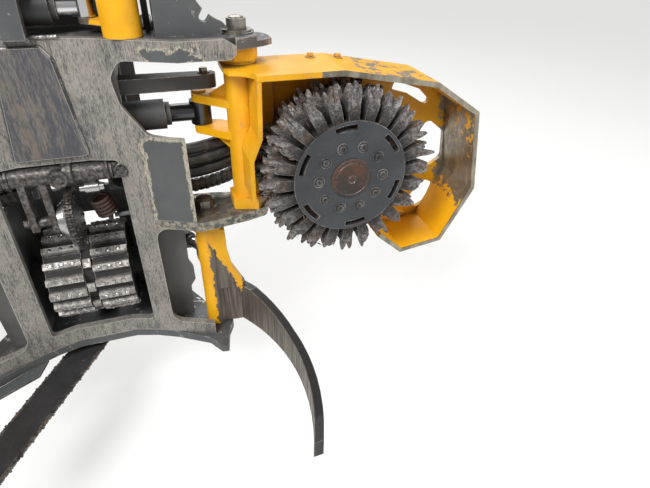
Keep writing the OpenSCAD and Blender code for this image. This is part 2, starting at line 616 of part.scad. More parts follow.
module measuring_spring() color(steel) in_head() {
    translate(spring_top) rotate([asin((spring_foot[1] - spring_top[1]) / spring_l), 0, 0])
        rotate([0, -asin((spring_foot[0] - spring_top[0]) / spring_l), 0]) {
            rod_z(9, -spring_l, -0.6);
            for (i = [0:spring_turns - 1]) translate([0, 0, -22 - spring_pitch * i]) rotate_extrude()
                translate([spring_r, 0]) circle(r = spring_pitch / 2 + 0.4, $fn = 16);
            translate([0, 0, -22]) cylinder(r = spring_r, h = 6);
            translate([0, 0, -28 - spring_pitch * (spring_turns - 1)]) cylinder(r = spring_r, h = 6);
        }
    rod_x(12, spring_foot[0] - 12, 105.7, spring_foot[1], spring_foot[2]);
}

// Knives: a hinge tube, a ribbed root and a curved blade, given by its arc's centre from the hinge
module blade_2d(c, r, a0, a1) polygon(concat(arc(c, r, a0, a1, 14), arc(c, r + blade_t, a1 + 1, a0, 14)));
low_r = 618;
low_c = -(low_r - low_tube_r) * [cos(42.9), sin(42.9)];
knife_pin_r = 15;
knife_arm = [-20, 76];
knife_foot = [228, 230];
knife_cyl_z = 250;
knife_eye_w = 42;
knife_h = 148;
knife_collar_r = 49;
collar_z = lug_z - 34;
module lower_knife(side, lift) color(yellow) in_low(side) difference() {
    union() {
        root_z = lift + knife_h;
        rod_z(low_tube_r, 2, lug_z - gap);
        level(lift, lift + knife_h) polygon(concat([[10, 30], [-12, -20], [48, -34]], arc(low_c, low_r,
            35.5, 31, 2),
            arc(low_c, low_r + blade_t, 31, 36, 2)));
        intersection() {
            level(lift, lift + knife_h) blade_2d(low_c, low_r, 35, -21);
            through_x(-100, 400) polygon([[0, lift], [-60, lift + knife_h], [-260, lift + 104], [-560,
                lift + 84],
                [-640, lift + 50], [-640, lift], [-560, lift - 1]]);
        }
        rod_z(knife_collar_r, collar_z, lug_z - gap);
        through_y(-38, -6) polygon([[-10, collar_z + 1], [46, collar_z + 1], [48,
            collar_z - 0.35 * (collar_z - root_z)],
            [60, collar_z - 0.65 * (collar_z - root_z)], [98, root_z - 1], [-10, root_z - 1]]);
        through_y(-20, 26) polygon([[-6, collar_z + 1], [16, collar_z + 1], [16, root_z - 1], [-6,
            root_z - 1]]);
        for (z = [knife_cyl_z - knife_eye_w / 2 - gap - 14, knife_cyl_z + knife_eye_w / 2 + gap]) {
            level(z, z + 14) polygon(rounded([[-30, 0], [34, 0], [16, knife_arm[1] + 24],
                [knife_arm[0] - 26, knife_arm[1] + 24]], [0, 0, 22, 22]));
            rod_z(knife_pin_r, z - 4, z + 18, knife_arm[0], knife_arm[1]);
        }
    }
    rod_z(pin_r + fit, 1, lug_z);
    rod_z(40, knife_cyl_z - knife_eye_w / 2 - gap, knife_cyl_z + knife_eye_w / 2 + gap, knife_arm[0],
        knife_arm[1]);
}
right_lift = 6;
left_lift = 164;
module right_lower_knife() lower_knife(1, right_lift);
module left_lower_knife() lower_knife(-1, left_lift);

up_c = [-330, -300];
up_r = 470;
up_arm = [-75, 60];
module upper_knife(side, z) color(yellow) in_up(side) difference() {
    union() {
        rod_z(up_tube_r, skin_h + gap, upper_z - gap);
        level(z, z + 84) polygon(concat([[-16, -34], [40, -30]], arc(up_c, up_r, 40, 34, 2),
            arc(up_c, up_r + blade_t, 34, 42, 2), [[20, 30]]));
        intersection() {
            level(z, z + 84) blade_2d(up_c, up_r, 42, -22);
            through_x(-100, 400) polygon([[60, z], [60, z + 84], [-200, z + 84], [-500, z + 50], [-500,
                z]]);
        }
        for (h = [-34, 22]) level(up_cyl_z + h, up_cyl_z + h + 12) polygon(rounded([[10, -40], [30, 36],
            [up_arm[0] + 20, up_arm[1] + 26], [up_arm[0] - 24, up_arm[1] + 6], [up_arm[0] - 16,
                up_arm[1] - 24]],
            [0, 0, 20, 16, 16]));
        if (side > 0) for (h = [-38, 30]) rod_z(knife_pin_r, up_cyl_z + h, up_cyl_z + h + 8, up_arm[0],
            up_arm[1]);
    }
    rod_z(pin_r + fit, skin_h, upper_z);
    if (side < 0) rod_z(knife_pin_r + fit, up_cyl_z - 40, up_cyl_z + 40, up_arm[0], up_arm[1]);
}
module right_upper_knife() upper_knife(1, upper_z - 114);
module left_upper_knife() upper_knife(-1, upper_z - 220);

// Cylinders: each lies along +X from its barrel's eye at the origin, with its rod's eye at length l
module barrel(r, rod_r, eye_r, eye_w, pin_r, pin_w, neck, tube_l) {
    difference() {
        union() {
            rod_x(r, neck, tube_l);
            rod_x(r * 0.78, tube_l - 1, tube_l + 14);
            level(-eye_w / 2, eye_w / 2) {
                circle(r = eye_r);
                translate([0, -eye_r * 0.8]) square([neck + 1, eye_r * 1.6]);
            }
        }
        rod_x(rod_r + fit, neck + 6, tube_l + 20);
    }
    rod_z(pin_r, -pin_w / 2, pin_w / 2);
}
module rod(l, rod_r, eye_r, eye_w, back) {
    rod_x(rod_r, back, l - eye_r * 0.7);
    translate([l, 0, -eye_w / 2]) cylinder(r = eye_r, h = eye_w);
}
arm_cyl_l = 2 * (arm_x + ear_x);
module in_arm_cyl() in_head() translate([-arm_x - ear_x, arm_y + ear_y, arm_cyl_z]) children();
module arm_barrel() color(dark) in_arm_cyl() barrel(41, 25, 30, 66, arm_eye_pin_r, 116, 52, 692);
module arm_rod() color(steel) in_arm_cyl() rod(arm_cyl_l, 25, 30, 66, 380);
up_cyl_l = 2 * (up_x + up_arm[0]);
module in_up_cyl() in_head() translate([-up_x - up_arm[0], up_y + up_arm[1], up_cyl_z]) children();
module upper_barrel() color(dark) in_up_cyl() barrel(38, 20, 23, 42, knife_pin_r, 72, 42, 236);
module upper_rod() color(steel) in_up_cyl() rod(up_cyl_l, 20, 23, 42, 50);
knife_span = [low_x + knife_arm[0], low_y + knife_arm[1]] - knife_foot;
knife_cyl_l = norm(knife_span);
module in_knife_cyl(side) in_head() mirror([side > 0 ? 0 : 1, 0, 0]) translate([knife_foot[0],
    knife_foot[1], knife_cyl_z])
    rotate(atan2(knife_span[1], knife_span[0])) children();
module knife_barrel(side) color(dark) in_knife_cyl(side) barrel(29, 17, 22, knife_eye_w, knife_pin_r, 76,
    31, 142);
module knife_rod(side) color(steel) in_knife_cyl(side) rod(knife_cyl_l, 17, 22, knife_eye_w, 40);
module right_knife_barrel() knife_barrel(1);
module right_knife_rod() knife_rod(1);
module left_knife_barrel() knife_barrel(-1);
module left_knife_rod() knife_rod(-1);
tilt_cyl_l = tilt_top[1] - tilt_lug[1];
module in_tilt_cyl() in_head() translate([0, tilt_top[0], tilt_top[1]]) rotate([0, 90, 0]) rotate([90, 0,
    0]) children();
module tilt_barrel() color(dark) in_tilt_cyl() barrel(48, 28, 30, tilt_eye_w, tilt_lug_r, tilt_eye_w + 58,
    44, 410);
module tilt_rod() color(steel) in_tilt_cyl() rod(tilt_cyl_l, 28, 30, tilt_eye_w, 310);

// Tilt frame: the fork that hangs the head from the rotator and lets it tip about the tilt pin
fork_x = 146;
fork_eye_r = 44;
flange_front = 145;
module tilt_frame() color(dark) in_head() {
    difference() {
        level(flange_z - 28, flange_z) translate([0, flange_y]) polygon(rounded([[-190, -flange_front],
            [190, -flange_front], [190, 160], [-190, 160]], 60, 8));
        for (i = [0:bolt_count - 1]) translate([0, flange_y,
            flange_z - 30]) rotate((i + 0.5) * 360 / bolt_count)
            translate([bolt_pc_r, 0, 0]) cylinder(r = bolt_r, h = 32);
        rod_z(55, flange_z - 30, flange_z + 1, 0, flange_y);
    }
    both_sides() difference() {
        through_x(fork_x, fork_x + 26) union() {
            polygon(rounded([[flange_y + fork_eye_r, tilt_z], [flange_y + 70, 1100], [flange_y + 160,
                flange_z - 28],
                [flange_y - 40, flange_z - 28], [flange_y - 30, 1330], [flange_y - fork_eye_r, tilt_z]],
                [0, 60, 0, 0, 40, 0], 6));
            translate([flange_y, tilt_z]) circle(r = fork_eye_r);
        }
        rod_x(tilt_pin_r + fit, fork_x - 1, fork_x + 27, flange_y, tilt_z);
    }
    both_sides() rod_x(tilt_pin_r, 107, fork_x + 34, flange_y, tilt_z);
    both_sides() difference() {
        through_x(tilt_eye_w / 2 + gap, tilt_eye_w / 2 + gap + 24) polygon(rounded([[420, flange_z - 28],
            [490, flange_z - 28], [490, tilt_top[1] - 32],
            [424, tilt_top[1] - 32]], [0, 0, 30, 30]));
        rod_x(tilt_lug_r + fit, tilt_eye_w / 2, tilt_eye_w, tilt_top[0], tilt_top[1]);
    }
    translate([-fork_x, flange_y - 8, 1120]) cube([2 * fork_x, 20, 180]);
}

// Saw bar: swings forward about the saw's pivot, with a rounded nose and the chain's edge round it
module saw_bar() color(dark) in_head() translate([0, saw_y, saw_z]) rotate(bar_turn) {
    level(-4, 4) union() {
        polygon([[-40, -bar_w / 2 + 12], [40, -bar_w / 2], [bar_l - 52, -bar_w / 2 + 4], [bar_l - 52,
            bar_w / 2 - 4],
            [40, bar_w / 2], [-40, bar_w / 2 - 12]]);
        translate([bar_l - 52, 0]) circle(r = bar_w / 2 - 4);
    }
    rod_z(44, 4, 11);
    rod_z(30, -16, -4);
    rod_z(16, 10, 46);
}

tilt_frame();
front_skin();
wear_plate();
top_plate();
lug_plates();
bottom_plate();
side_walls();
back_frame();
bay_plates();
stop_bar();
gussets();
upper_frame();
top_knife();
valve_cover();
saw_box();
saw_motor();
hinge_pins();
measuring_pin();
right_hoses();
left_hoses();
right_arm();
right_guard();
right_feed_motor();
left_arm();
left_guard();
left_feed_motor();
right_feed_roller();
left_feed_roller();
inner_roller();
measuring_arm();
measuring_spring();
measuring_wheel();
right_lower_knife();
left_lower_knife();
right_upper_knife();
left_upper_knife();
arm_barrel();
arm_rod();
upper_barrel();
upper_rod();
right_knife_barrel();
right_knife_rod();
left_knife_barrel();
left_knife_rod();
tilt_barrel();
tilt_rod();
saw_bar();
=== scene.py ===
"""Harvester head: finish, fasteners, spikes, chain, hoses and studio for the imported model.

Sizes are in millimetres in the head's own coordinates until a mesh is made: X to the right arm, Y to the
back, Z up, from the bottom of the front skin's centre line. row() and add_piece() bring them to the row
frame.
"""

import logging
import math
from dataclasses import dataclass, field
from enum import Enum
from typing import Callable, ClassVar, Optional, Sequence, Union

import bpy
import numpy as np
from mathutils import Matrix

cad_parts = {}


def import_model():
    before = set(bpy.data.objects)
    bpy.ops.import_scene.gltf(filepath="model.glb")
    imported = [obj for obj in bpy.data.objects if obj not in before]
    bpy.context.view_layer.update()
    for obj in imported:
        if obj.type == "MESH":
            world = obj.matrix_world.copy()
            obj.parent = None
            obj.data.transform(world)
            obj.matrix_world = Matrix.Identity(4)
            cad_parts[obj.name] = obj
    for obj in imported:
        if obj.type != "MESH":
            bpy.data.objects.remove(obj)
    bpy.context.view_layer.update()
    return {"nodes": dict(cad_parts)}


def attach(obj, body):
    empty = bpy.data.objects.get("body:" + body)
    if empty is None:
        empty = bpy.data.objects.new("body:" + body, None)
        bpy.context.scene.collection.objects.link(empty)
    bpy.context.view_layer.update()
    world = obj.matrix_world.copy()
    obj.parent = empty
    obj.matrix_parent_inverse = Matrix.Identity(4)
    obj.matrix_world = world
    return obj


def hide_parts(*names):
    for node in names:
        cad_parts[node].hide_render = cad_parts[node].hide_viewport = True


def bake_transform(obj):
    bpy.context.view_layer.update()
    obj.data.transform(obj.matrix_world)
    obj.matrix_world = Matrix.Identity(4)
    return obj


Array = np.ndarray
Socket = bpy.types.NodeSocket
Value = Union[float, Socket]
Colour = tuple[float, float, float]
Point = tuple[float, float, float]
Inputs = dict[Union[str, int], object]
Profile = Sequence[tuple[float, float]]

log = logging.getLogger("harvester_head")

# millimetres in a metre, and the row frame's origin in head millimetres
MM = 1000.0
FLANGE = np.array([0.0, 330.0, 1500.0])

# directions in the head
UP = (0.0, 0.0, 1.0)
RIGHTWARDS = (1.0, 0.0, 0.0)
LEFTWARDS = (-1.0, 0.0, 0.0)
BACKWARDS = (0.0, 1.0, 0.0)
FORWARDS = (0.0, -1.0, 0.0)

# angle in degrees above which an edge stays sharp, and the same on wires and beads
SHARP_ANGLE = 32.0
ROUND_ANGLE = 60.0

# half size of a patch that has no bound along an axis, a washer's thickness, and rays of a shader node
ENDLESS = 999.0
WASHER = 3.0
RAYS = 6


class Side(Enum):
    """Which half of the head a piece belongs to; the value is the sign of its X."""

    RIGHT = 1
    LEFT = -1

    @property
    def word(self) -> str:
        """The side's name, as it starts the names of its nodes and bodies."""
        return self.name.lower()

    def place(self, point: Point) -> Point:
        """A place or direction given for the right side, on this side."""
        return (self.value * point[0], point[1], point[2])


def row(point: Sequence[float]) -> Point:
    """A point in head millimetres, moved to the row frame in metres."""
    moved = (np.asarray(point, float) - FLANGE) / MM
    return (float(moved[0]), float(moved[1]), float(moved[2]))


@dataclass
class Shape:
    """A surface before it becomes a mesh.

    Attributes:
        points: Vertices, one row each, in head millimetres.
        faces: Arrays of vertex numbers; the faces of one array have the same count of corners.
    """

    points: Array
    faces: list[Array] = field(default_factory=list)

    def moved(self, at: Sequence[float] = (0, 0, 0), axis: Sequence[float] = UP,
              spin: float = 0.0) -> "Shape":
        """The shape turned so that its own +Z lies along an axis, then moved.

        Args:
            at: Where the shape's own origin goes.
            axis: Direction that its +Z takes.
            spin: Turn about that axis first, in degrees.

        Returns:
            A new shape.
        """
        z = np.asarray(axis, float) / np.linalg.norm(axis)
        side = np.array(RIGHTWARDS if abs(z[0]) < 0.9 else BACKWARDS)
        x = side - z * (side @ z)
        x /= np.linalg.norm(x)
        y = np.cross(z, x)
        a = math.radians(spin)
        basis = np.stack([x * math.cos(a) + y * math.sin(a), y * math.cos(a) - x * math.sin(a), z])
        return Shape(self.points @ basis + np.asarray(at, float), self.faces)

    def repeated(self, turns: Array, shifts: Array) -> "Shape":
        """Copies of the shape: each point p becomes turn @ p + shift for every turn and shift.

        Args:
            turns: Rotation matrices, (n, 3, 3).
            shifts: Offsets, (n, 3).

        Returns:
            All the copies as one shape.
        """
        points = np.einsum("nij,pj->npi", turns, self.points) + shifts[:, None, :]
        return copies(points, self.faces)

    def reflected(self, signs: Sequence[float]) -> "Shape":
        """The mirror image in one plane, given by a sign for each coordinate, still facing outwards."""
        return Shape(self.points * np.asarray(signs, float), [f[:, ::-1] for f in self.faces])

    def mirrored(self, side: Side) -> "Shape":
        """The shape itself on the right, or its mirror image in X on the left."""
        return self if side is Side.RIGHT else self.reflected((-1, 1, 1))

    def warped(self, move: Callable[[Array], Array]) -> "Shape":
        """The same faces over points that a function has moved."""
        return Shape(move(self.points), self.faces)


def copies(points: Array, faces: Sequence[Array]) -> Shape:
    """The same faces over several sets of points, (sets, points in a set, 3), as one shape."""
    step = (np.arange(len(points)) * points.shape[1])[:, None, None]
    return Shape(points.reshape(-1, 3), [(f[None] + step).reshape(-1, f.shape[1]) for f in faces])


def joined(shapes: Sequence[Shape]) -> Shape:
    """Several shapes as one.

    Args:
        shapes: The shapes, none of which is changed.

    Returns:
        One shape with all their points and faces.
    """
    offsets = np.cumsum([0] + [len(s.points) for s in shapes[:-1]])
    faces = [f + o for s, o in zip(shapes, offsets) for f in s.faces]
    return Shape(np.concatenate([s.points for s in shapes]), faces)


def grid_faces(rows: int, columns: int, wrap: bool) -> Array:
    """Quads over a grid of points: row i and column j meet their next neighbours.

    Args:
        rows: Rows of the grid.
        columns: Points in a row.
        wrap: Whether the last column meets the first.

    Returns:
        The quads, (quads, 4).
    """
    j = np.arange(columns if wrap else columns - 1)
    i = np.arange(rows - 1)[:, None] * columns
    k = (j + 1) % columns
    return np.stack([i + j, i + k, i + columns + k, i + columns + j], axis=-1).reshape(-1, 4)


def loft(rings: Array, capped: bool = True) -> Shape:
    """A closed skin over rings of points: S(u, v) runs round ring v with u, and from ring to ring with v.

    Args:
        rings: Points, (rings, points in a ring, 3), each ring anticlockwise seen from the last one.
        capped: Whether one face closes each end. If not, the last ring is followed by the first again.

    Returns:
        The skin.
    """
    rows, columns = rings.shape[:2]
    points = rings.reshape(-1, 3)
    if not capped:
        return Shape(points, [grid_faces(rows + 1, columns, True) % len(points)])
    first = np.arange(columns)[None, ::-1]
    return Shape(points, [grid_faces(rows, columns, True), first, first[:, ::-1] + (rows - 1) * columns])


def ring_outline(radius: float, sides: int, start: float = 0.0) -> Array:
    """Points of a regular polygon, anticlockwise, the first at an angle in degrees."""
    u = np.radians(start) + np.linspace(0, 2 * np.pi, sides, endpoint=False)
    return radius * np.stack([np.cos(u), np.sin(u)], axis=-1)


def lathe(profile: Profile, sides: int = 32, capped: bool = True) -> Shape:
    """A profile turned about Z: S(u, v) = (r(v) cos u, r(v) sin u, h(v)).

    Args:
        profile: Radius and height of each ring, from the bottom up the outside. No radius is nought.
        sides: Points round each ring.
        capped: Whether a flat face closes each end. If not, the profile runs back to its first ring.

    Returns:
        The turned solid or ring.
    """
    rings = [np.column_stack([ring_outline(r, sides), np.full(sides, h)]) for r, h in profile]
    return loft(np.stack(rings), capped)


def prism(outline: Array, low: float, high: float, bevel: float = 0.0) -> Shape:
    """An outline drawn up from low to high, its edges drawn in by a bevel towards the outline's middle.

    Args:
        outline: Points in plan, anticlockwise.
        low: Height of the lower face.
        high: Height of the upper face.
        bevel: Width of the bevel on both faces.

    Returns:
        The prism.
    """
    outline = np.asarray(outline, float)
    middle = outline.mean(axis=0)
    reach = np.linalg.norm(outline - middle, axis=1, keepdims=True)
    small = middle + (outline - middle) * (1 - bevel / reach)
    levels = [(small, low), (outline, low + bevel), (outline, high - bevel), (small, high)]
    rings = [np.column_stack([o, np.full(len(o), h)]) for o, h in levels]
    return loft(np.stack(rings if bevel else [rings[0], rings[3]]))


def smooth_path(points: Sequence[Sequence[float]], steps: int = 6) -> Array:
    """A curve through given points: its slope at each is half the chord between the neighbours.

    Args:
        points: The points that the curve passes.
        steps: Points worked out on each stretch.

    Returns:
        The curve's points.
    """
    p = np.asarray(points, float)
    p = np.concatenate([[2 * p[0] - p[1]], p, [2 * p[-1] - p[-2]]])
    t = np.linspace(0, 1, steps, endpoint=False)[:, None]
    a, b, c, d = (p[i:len(p) - 3 + i, None, :] for i in range(4))
    cubic = b + 0.5 * t * (c - a + t * (2 * a - 5 * b + 4 * c - d + t * (3 * (b - c) + d - a)))
    return np.concatenate([cubic.reshape(-1, 3), p[-2:-1]])


def tube(path: Array, radius: Union[float, Array], sides: int = 12, up: Sequence[float] = UP) -> Shape:
    """A round section carried along a path: S(u, v) = path(v) + r(v) (cos u side(v) - sin u over(v)).

    Args:
        path: Points of the middle line.
        radius: One radius, or one for each point.
        sides: Points round the section.
        up: Direction that the path never takes, from which side and over are worked out.

    Returns:
        The tube with closed ends.
    """
    along = np.gradient(path, axis=0)
    along /= np.linalg.norm(along, axis=1, keepdims=True)
    side = np.cross(along, np.asarray(up, float))
    side /= np.linalg.norm(side, axis=1, keepdims=True)
    over = np.cross(side, along)
    u = np.linspace(0, 2 * np.pi, sides, endpoint=False)[None, :, None]
    r = np.broadcast_to(np.asarray(radius, float), (len(path),))[:, None, None]
    rings = path[:, None] + r * (np.cos(u) * side[:, None] - np.sin(u) * over[:, None])
    return loft(rings)


def turns_about(angle: Array, axis: int) -> Array:
    """Rotation matrices about X, Y or Z, by the usual cosine and sine of each angle.

    Args:
        angle: Angles in radians, (n,).
        axis: 0, 1 or 2.

    Returns:
        Matrices, (n, 3, 3).
    """
    angle = np.asarray(angle, float)
    i, j = (axis + 1) % 3, (axis + 2) % 3
    turn = np.zeros((len(angle), 3, 3))
    turn[:, axis, axis] = 1
    turn[:, i, i] = turn[:, j, j] = np.cos(angle)
    turn[:, i, j] = -np.sin(angle)
    turn[:, j, i] = np.sin(angle)
    return turn


def perforated(radii: Array, angles: Array, kept: Array, low: float, high: float) -> Shape:
    """A disc over a polar grid: P(r, a, h) = (r cos a, r sin a, h), both faces over the kept cells only.

    A wall stands on each side of a kept cell whose neighbour is missing.

    Args:
        radii: Radii of the grid.
        angles: Angles of the grid, once round.
        kept: Which cells are there, (rings of cells, angles).
        low: Height of the lower face.
        high: Height of the upper face.

    Returns:
        The disc.
    """
    n = len(angles)
    flat = radii[:, None, None] * np.stack([np.cos(angles), np.sin(angles)], axis=-1)[None]
    layers = [np.concatenate([flat, np.full((len(radii), n, 1), h)], axis=-1) for h in (low, high)]
    points = np.stack(layers).reshape(-1, 3)
    number = np.arange(2 * len(radii) * n).reshape(2, len(radii), n)
    after = np.roll(number, -1, axis=2)
    top = np.stack([number[1, :-1], number[1, 1:], after[1, 1:], after[1, :-1]], axis=-1)[kept]
    bottom = np.stack([number[0, :-1], after[0, :-1], after[0, 1:], number[0, 1:]], axis=-1)[kept]
    padded = np.pad(kept, ((1, 1), (0, 0)))
    outer = kept & ~padded[2:]
    inner = kept & ~padded[:-2]
    ahead = kept & ~np.roll(kept, -1, axis=1)
    behind = kept & ~np.roll(kept, 1, axis=1)
    walls = [np.stack([number[0, 1:], after[0, 1:], after[1, 1:], number[1, 1:]], axis=-1)[outer],
             np.stack([after[0, :-1], number[0, :-1], number[1, :-1], after[1, :-1]], axis=-1)[inner],
             np.stack([after[0, 1:], after[0, :-1], after[1, :-1], after[1, 1:]], axis=-1)[ahead],
             np.stack([number[0, :-1], number[0, 1:], number[1, 1:], number[1, :-1]], axis=-1)[behind]]
    return Shape(points, [top, bottom] + walls)


def outward(angle: Array) -> tuple[Array, Array]:
    """Turns that carry +Z to out(a) = (0, cos a, sin a) and keep +X, and those directions.

    Args:
        angle: Angles about X in radians, (n,).

    Returns:
        Matrices, (n, 3, 3), and directions, (n, 3).
    """
    out = np.stack([np.zeros_like(angle), np.cos(angle), np.sin(angle)], axis=-1)
    side = np.broadcast_to(np.array(RIGHTWARDS), out.shape)
    return np.stack([side, np.cross(out, side), out], axis=-1), out


def weld(points: Sequence[Sequence[float]], radius: float = 5.0, up: Sequence[float] = UP) -> Shape:
    """A weld bead: a tube whose radius swells and falls with each drop of metal along the path.

    Args:
        points: Corners of the seam.
        radius: Radius of the bead between two drops.
        up: A direction that the seam never takes.

    Returns:
        The bead.
    """
    corners = np.asarray(points, float)
    lengths = np.linalg.norm(np.diff(corners, axis=0), axis=1)
    places = np.concatenate([[0], np.cumsum(lengths)])
    stride, drop, slow = 1.6, 7.5, 0.21
    s = np.arange(0, places[-1], stride)
    path = np.stack([np.interp(s, places, corners[:, k]) for k in range(3)], axis=-1)
    swell = 1 + 0.16 * np.abs(np.sin(s * np.pi / drop)) + 0.06 * np.sin(s * slow)
    return tube(path, radius * swell, 7, up)


def bolt_head(across: float, height: float, washer: float = 0.0, spin: float = 0.0) -> Shape:
    """A hexagon head on its washer, standing on Z = 0 along +Z, with a shallow turned crown.

    Args:
        across: Width across the flats.
        height: Height of the head.
        washer: Radius of the washer, or nought for none.
        spin: Turn of the hexagon, in degrees.

    Returns:
        The head and the washer.
    """
    lift = WASHER if washer else 0.0
    corner = across / math.sqrt(3)
    parts = [prism(ring_outline(corner, 6, spin), lift, lift + height, 1.0),
             lathe([(across * 0.44, lift + height - 1.2), (across * 0.40, lift + height + 0.8)], 20)]
    if washer:
        parts.append(lathe([(washer, 0), (washer, lift - 0.6), (washer - 0.8, lift)], 24))
    return joined(parts)


def add_piece(name: str, shape: Shape, finish: "Finish", body: Optional[str],
              angle: float = SHARP_ANGLE) -> bpy.types.Object:
    """Makes the Blender object of a shape, in the row frame, with its finish and body.

    Args:
        name: The piece's name.
        shape: Its surface in head millimetres.
        finish: What it is dressed in.
        body: The body it rides on, or None for a piece on no body.
        angle: Edges sharper than this stay sharp, in degrees.

    Returns:
        The object.
    """
    mesh = bpy.data.meshes.new(name)
    points = (shape.points - FLANGE) / MM
    loops = np.concatenate([f.reshape(-1) for f in shape.faces]).astype(np.int32)
    totals = np.concatenate([np.full(len(f), f.shape[1]) for f in shape.faces]).astype(np.int32)
    mesh.vertices.add(len(points))
    mesh.vertices.foreach_set("co", points.astype(np.float32).reshape(-1))
    mesh.loops.add(len(loops))
    mesh.loops.foreach_set("vertex_index", loops)
    mesh.polygons.add(len(totals))
    starts = np.concatenate([[0], np.cumsum(totals)[:-1]]).astype(np.int32)
    mesh.polygons.foreach_set("loop_start", starts)
    mesh.polygons.foreach_set("use_smooth", np.ones(len(totals), dtype=bool))
    mesh.update(calc_edges=True)
    mesh.set_sharp_from_angle(angle=math.radians(angle))
    piece = bpy.data.objects.new(name, mesh)
    bpy.context.scene.collection.objects.link(piece)
    mesh.materials.append(finish.material())
    if body:
        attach(piece, body)
    log.info("%s: %d faces", name, len(totals))
    return piece


class Graph:
    """A material's node tree, built through short calls that return sockets."""

    def __init__(self, name: str) -> None:
        """Starts an empty material.

        Args:
            name: The material's name.
        """
        self.material = bpy.data.materials.new(name)
        self.material.use_nodes = True
        self.tree = self.material.node_tree
        self.tree.nodes.clear()
        self.place = self.node("ShaderNodeTexCoord").outputs["Object"]

    def node(self, kind: str, inputs: Optional[Inputs] = None, **settings: object) -> bpy.types.Node:
        """Adds a node.

        Args:
            kind: The node's Blender type.
            inputs: For each input's name or number, a socket to link or a value to set.
            **settings: Properties of the node.

        Returns:
            The node.
        """
        made = self.tree.nodes.new(kind)
        for key, value in settings.items():
            setattr(made, key, value)
        for key, value in (inputs or {}).items():
            if isinstance(value, bpy.types.NodeSocket):
                self.tree.links.new(value, made.inputs[key])
            elif isinstance(value, tuple) and len(value) == 3 and made.inputs[key].type == "RGBA":
                made.inputs[key].default_value = (*value, 1.0)
            else:
                made.inputs[key].default_value = value
        return made

    def stretched(self, across: float, along: float) -> Socket:
        """Object coordinates scaled for grain that runs up and down: waves a metre across and along it."""
        inputs: Inputs = {"Vector": self.place, "Scale": (across, across, along)}
        return self.node("ShaderNodeMapping", inputs).outputs[0]

    def noise(self, scale: float, detail: float = 4.0, rough: float = 0.6, vector: Optional[Socket] = None,
              bend: float = 0.0) -> Socket:
        """Fractal noise.

        Args:
            scale: Waves a metre.
            detail: Number of finer noises laid on it.
            rough: Weight of each finer noise against the one before.
            vector: Coordinates, or None for the object's own.
            bend: How far the waves are bent.

        Returns:
            Values from 0 to 1, with 0.5 in the middle.
        """
        inputs: Inputs = {"Vector": vector or self.place, "Scale": scale, "Detail": detail,
                          "Roughness": rough, "Distortion": bend}
        return self.node("ShaderNodeTexNoise", inputs).outputs["Fac"]

    def math(self, operation: str, a: Value, b: Value = 0.0) -> Socket:
        """One operation on two values; some operations use only the first."""
        return self.node("ShaderNodeMath", {0: a, 1: b}, operation=operation).outputs[0]

    def plus(self, a: Value, b: Value) -> Socket:
        """Value a and value b together."""
        return self.math("ADD", a, b)

    def minus(self, a: Value, b: Value) -> Socket:
        """Value a less value b."""
        return self.math("SUBTRACT", a, b)

    def times(self, a: Value, b: Value) -> Socket:
        """Value a times value b."""
        return self.math("MULTIPLY", a, b)

    def length(self, a: Socket, b: Socket) -> Socket:
        """Distance from two offsets at right angles: the root of a a + b b."""
        return self.math("SQRT", self.plus(self.times(a, a), self.times(b, b)))

    def weighted(self, *parts: tuple[Value, float]) -> Socket:
        """The sum of values, each times its weight.

        Args:
            *parts: Pairs of a value and its weight.

        Returns:
            The sum.
        """
        total = self.times(*parts[0])
        for value, weight in parts[1:]:
            total = self.plus(total, self.times(value, weight))
        return total

    def step(self, value: Value, low: float, high: float, start: float = 0.0, end: float = 1.0) -> Socket:
        """A smooth step of a value.

        Args:
            value: The value.
            low: Where the step starts.
            high: Where it ends.
            start: Result up to low.
            end: Result from high on.

        Returns:
            The step's result.
        """
        inputs: Inputs = {"Value": value, "From Min": low, "From Max": high, "To Min": start, "To Max": end}
        return self.node("ShaderNodeMapRange", inputs, interpolation_type="SMOOTHSTEP").outputs["Result"]

    def mix(self, share: Value, a: object, b: object) -> Socket:
        """Colour a, or b where the share is 1."""
        return self.node("ShaderNodeMix", {0: share, 6: a, 7: b}, data_type="RGBA").outputs[2]

    def blend(self, share: Value, a: Value, b: Value) -> Socket:
        """Number a, or b where the share is 1."""
        return self.node("ShaderNodeMix", {0: share, 2: a, 3: b}, data_type="FLOAT").outputs[0]

    def edges(self, width: float) -> Socket:
        """How near an edge lies.

        Args:
            width: How far from the edge it reaches, in metres.

        Returns:
            1 on the edge, falling to 0.
        """
        bevel = self.node("ShaderNodeBevel", {"Radius": width}, samples=RAYS)
        normal = self.node("ShaderNodeNewGeometry").outputs["Normal"]
        made = self.node("ShaderNodeVectorMath", {0: bevel.outputs[0], 1: normal}, operation="DOT_PRODUCT")
        flat, bent = 0.995, 0.80
        return self.step(made.outputs["Value"], flat, bent)

    def hollows(self, reach: float) -> Socket:
        """How shut in a point is.

        Args:
            reach: How far what shuts it in may stand, in metres.

        Returns:
            0 in the open, rising to 1 in a corner.
        """
        made = self.node("ShaderNodeAmbientOcclusion", {"Distance": reach}, samples=RAYS)
        unshut, corner = 0.95, 0.35
        return self.step(made.outputs["AO"], unshut, corner)

    def axes(self) -> tuple[Socket, Socket, Socket]:
        """The three object coordinates in metres."""
        made = self.node("ShaderNodeSeparateXYZ", {0: self.place})
        return made.outputs[0], made.outputs[1], made.outputs[2]

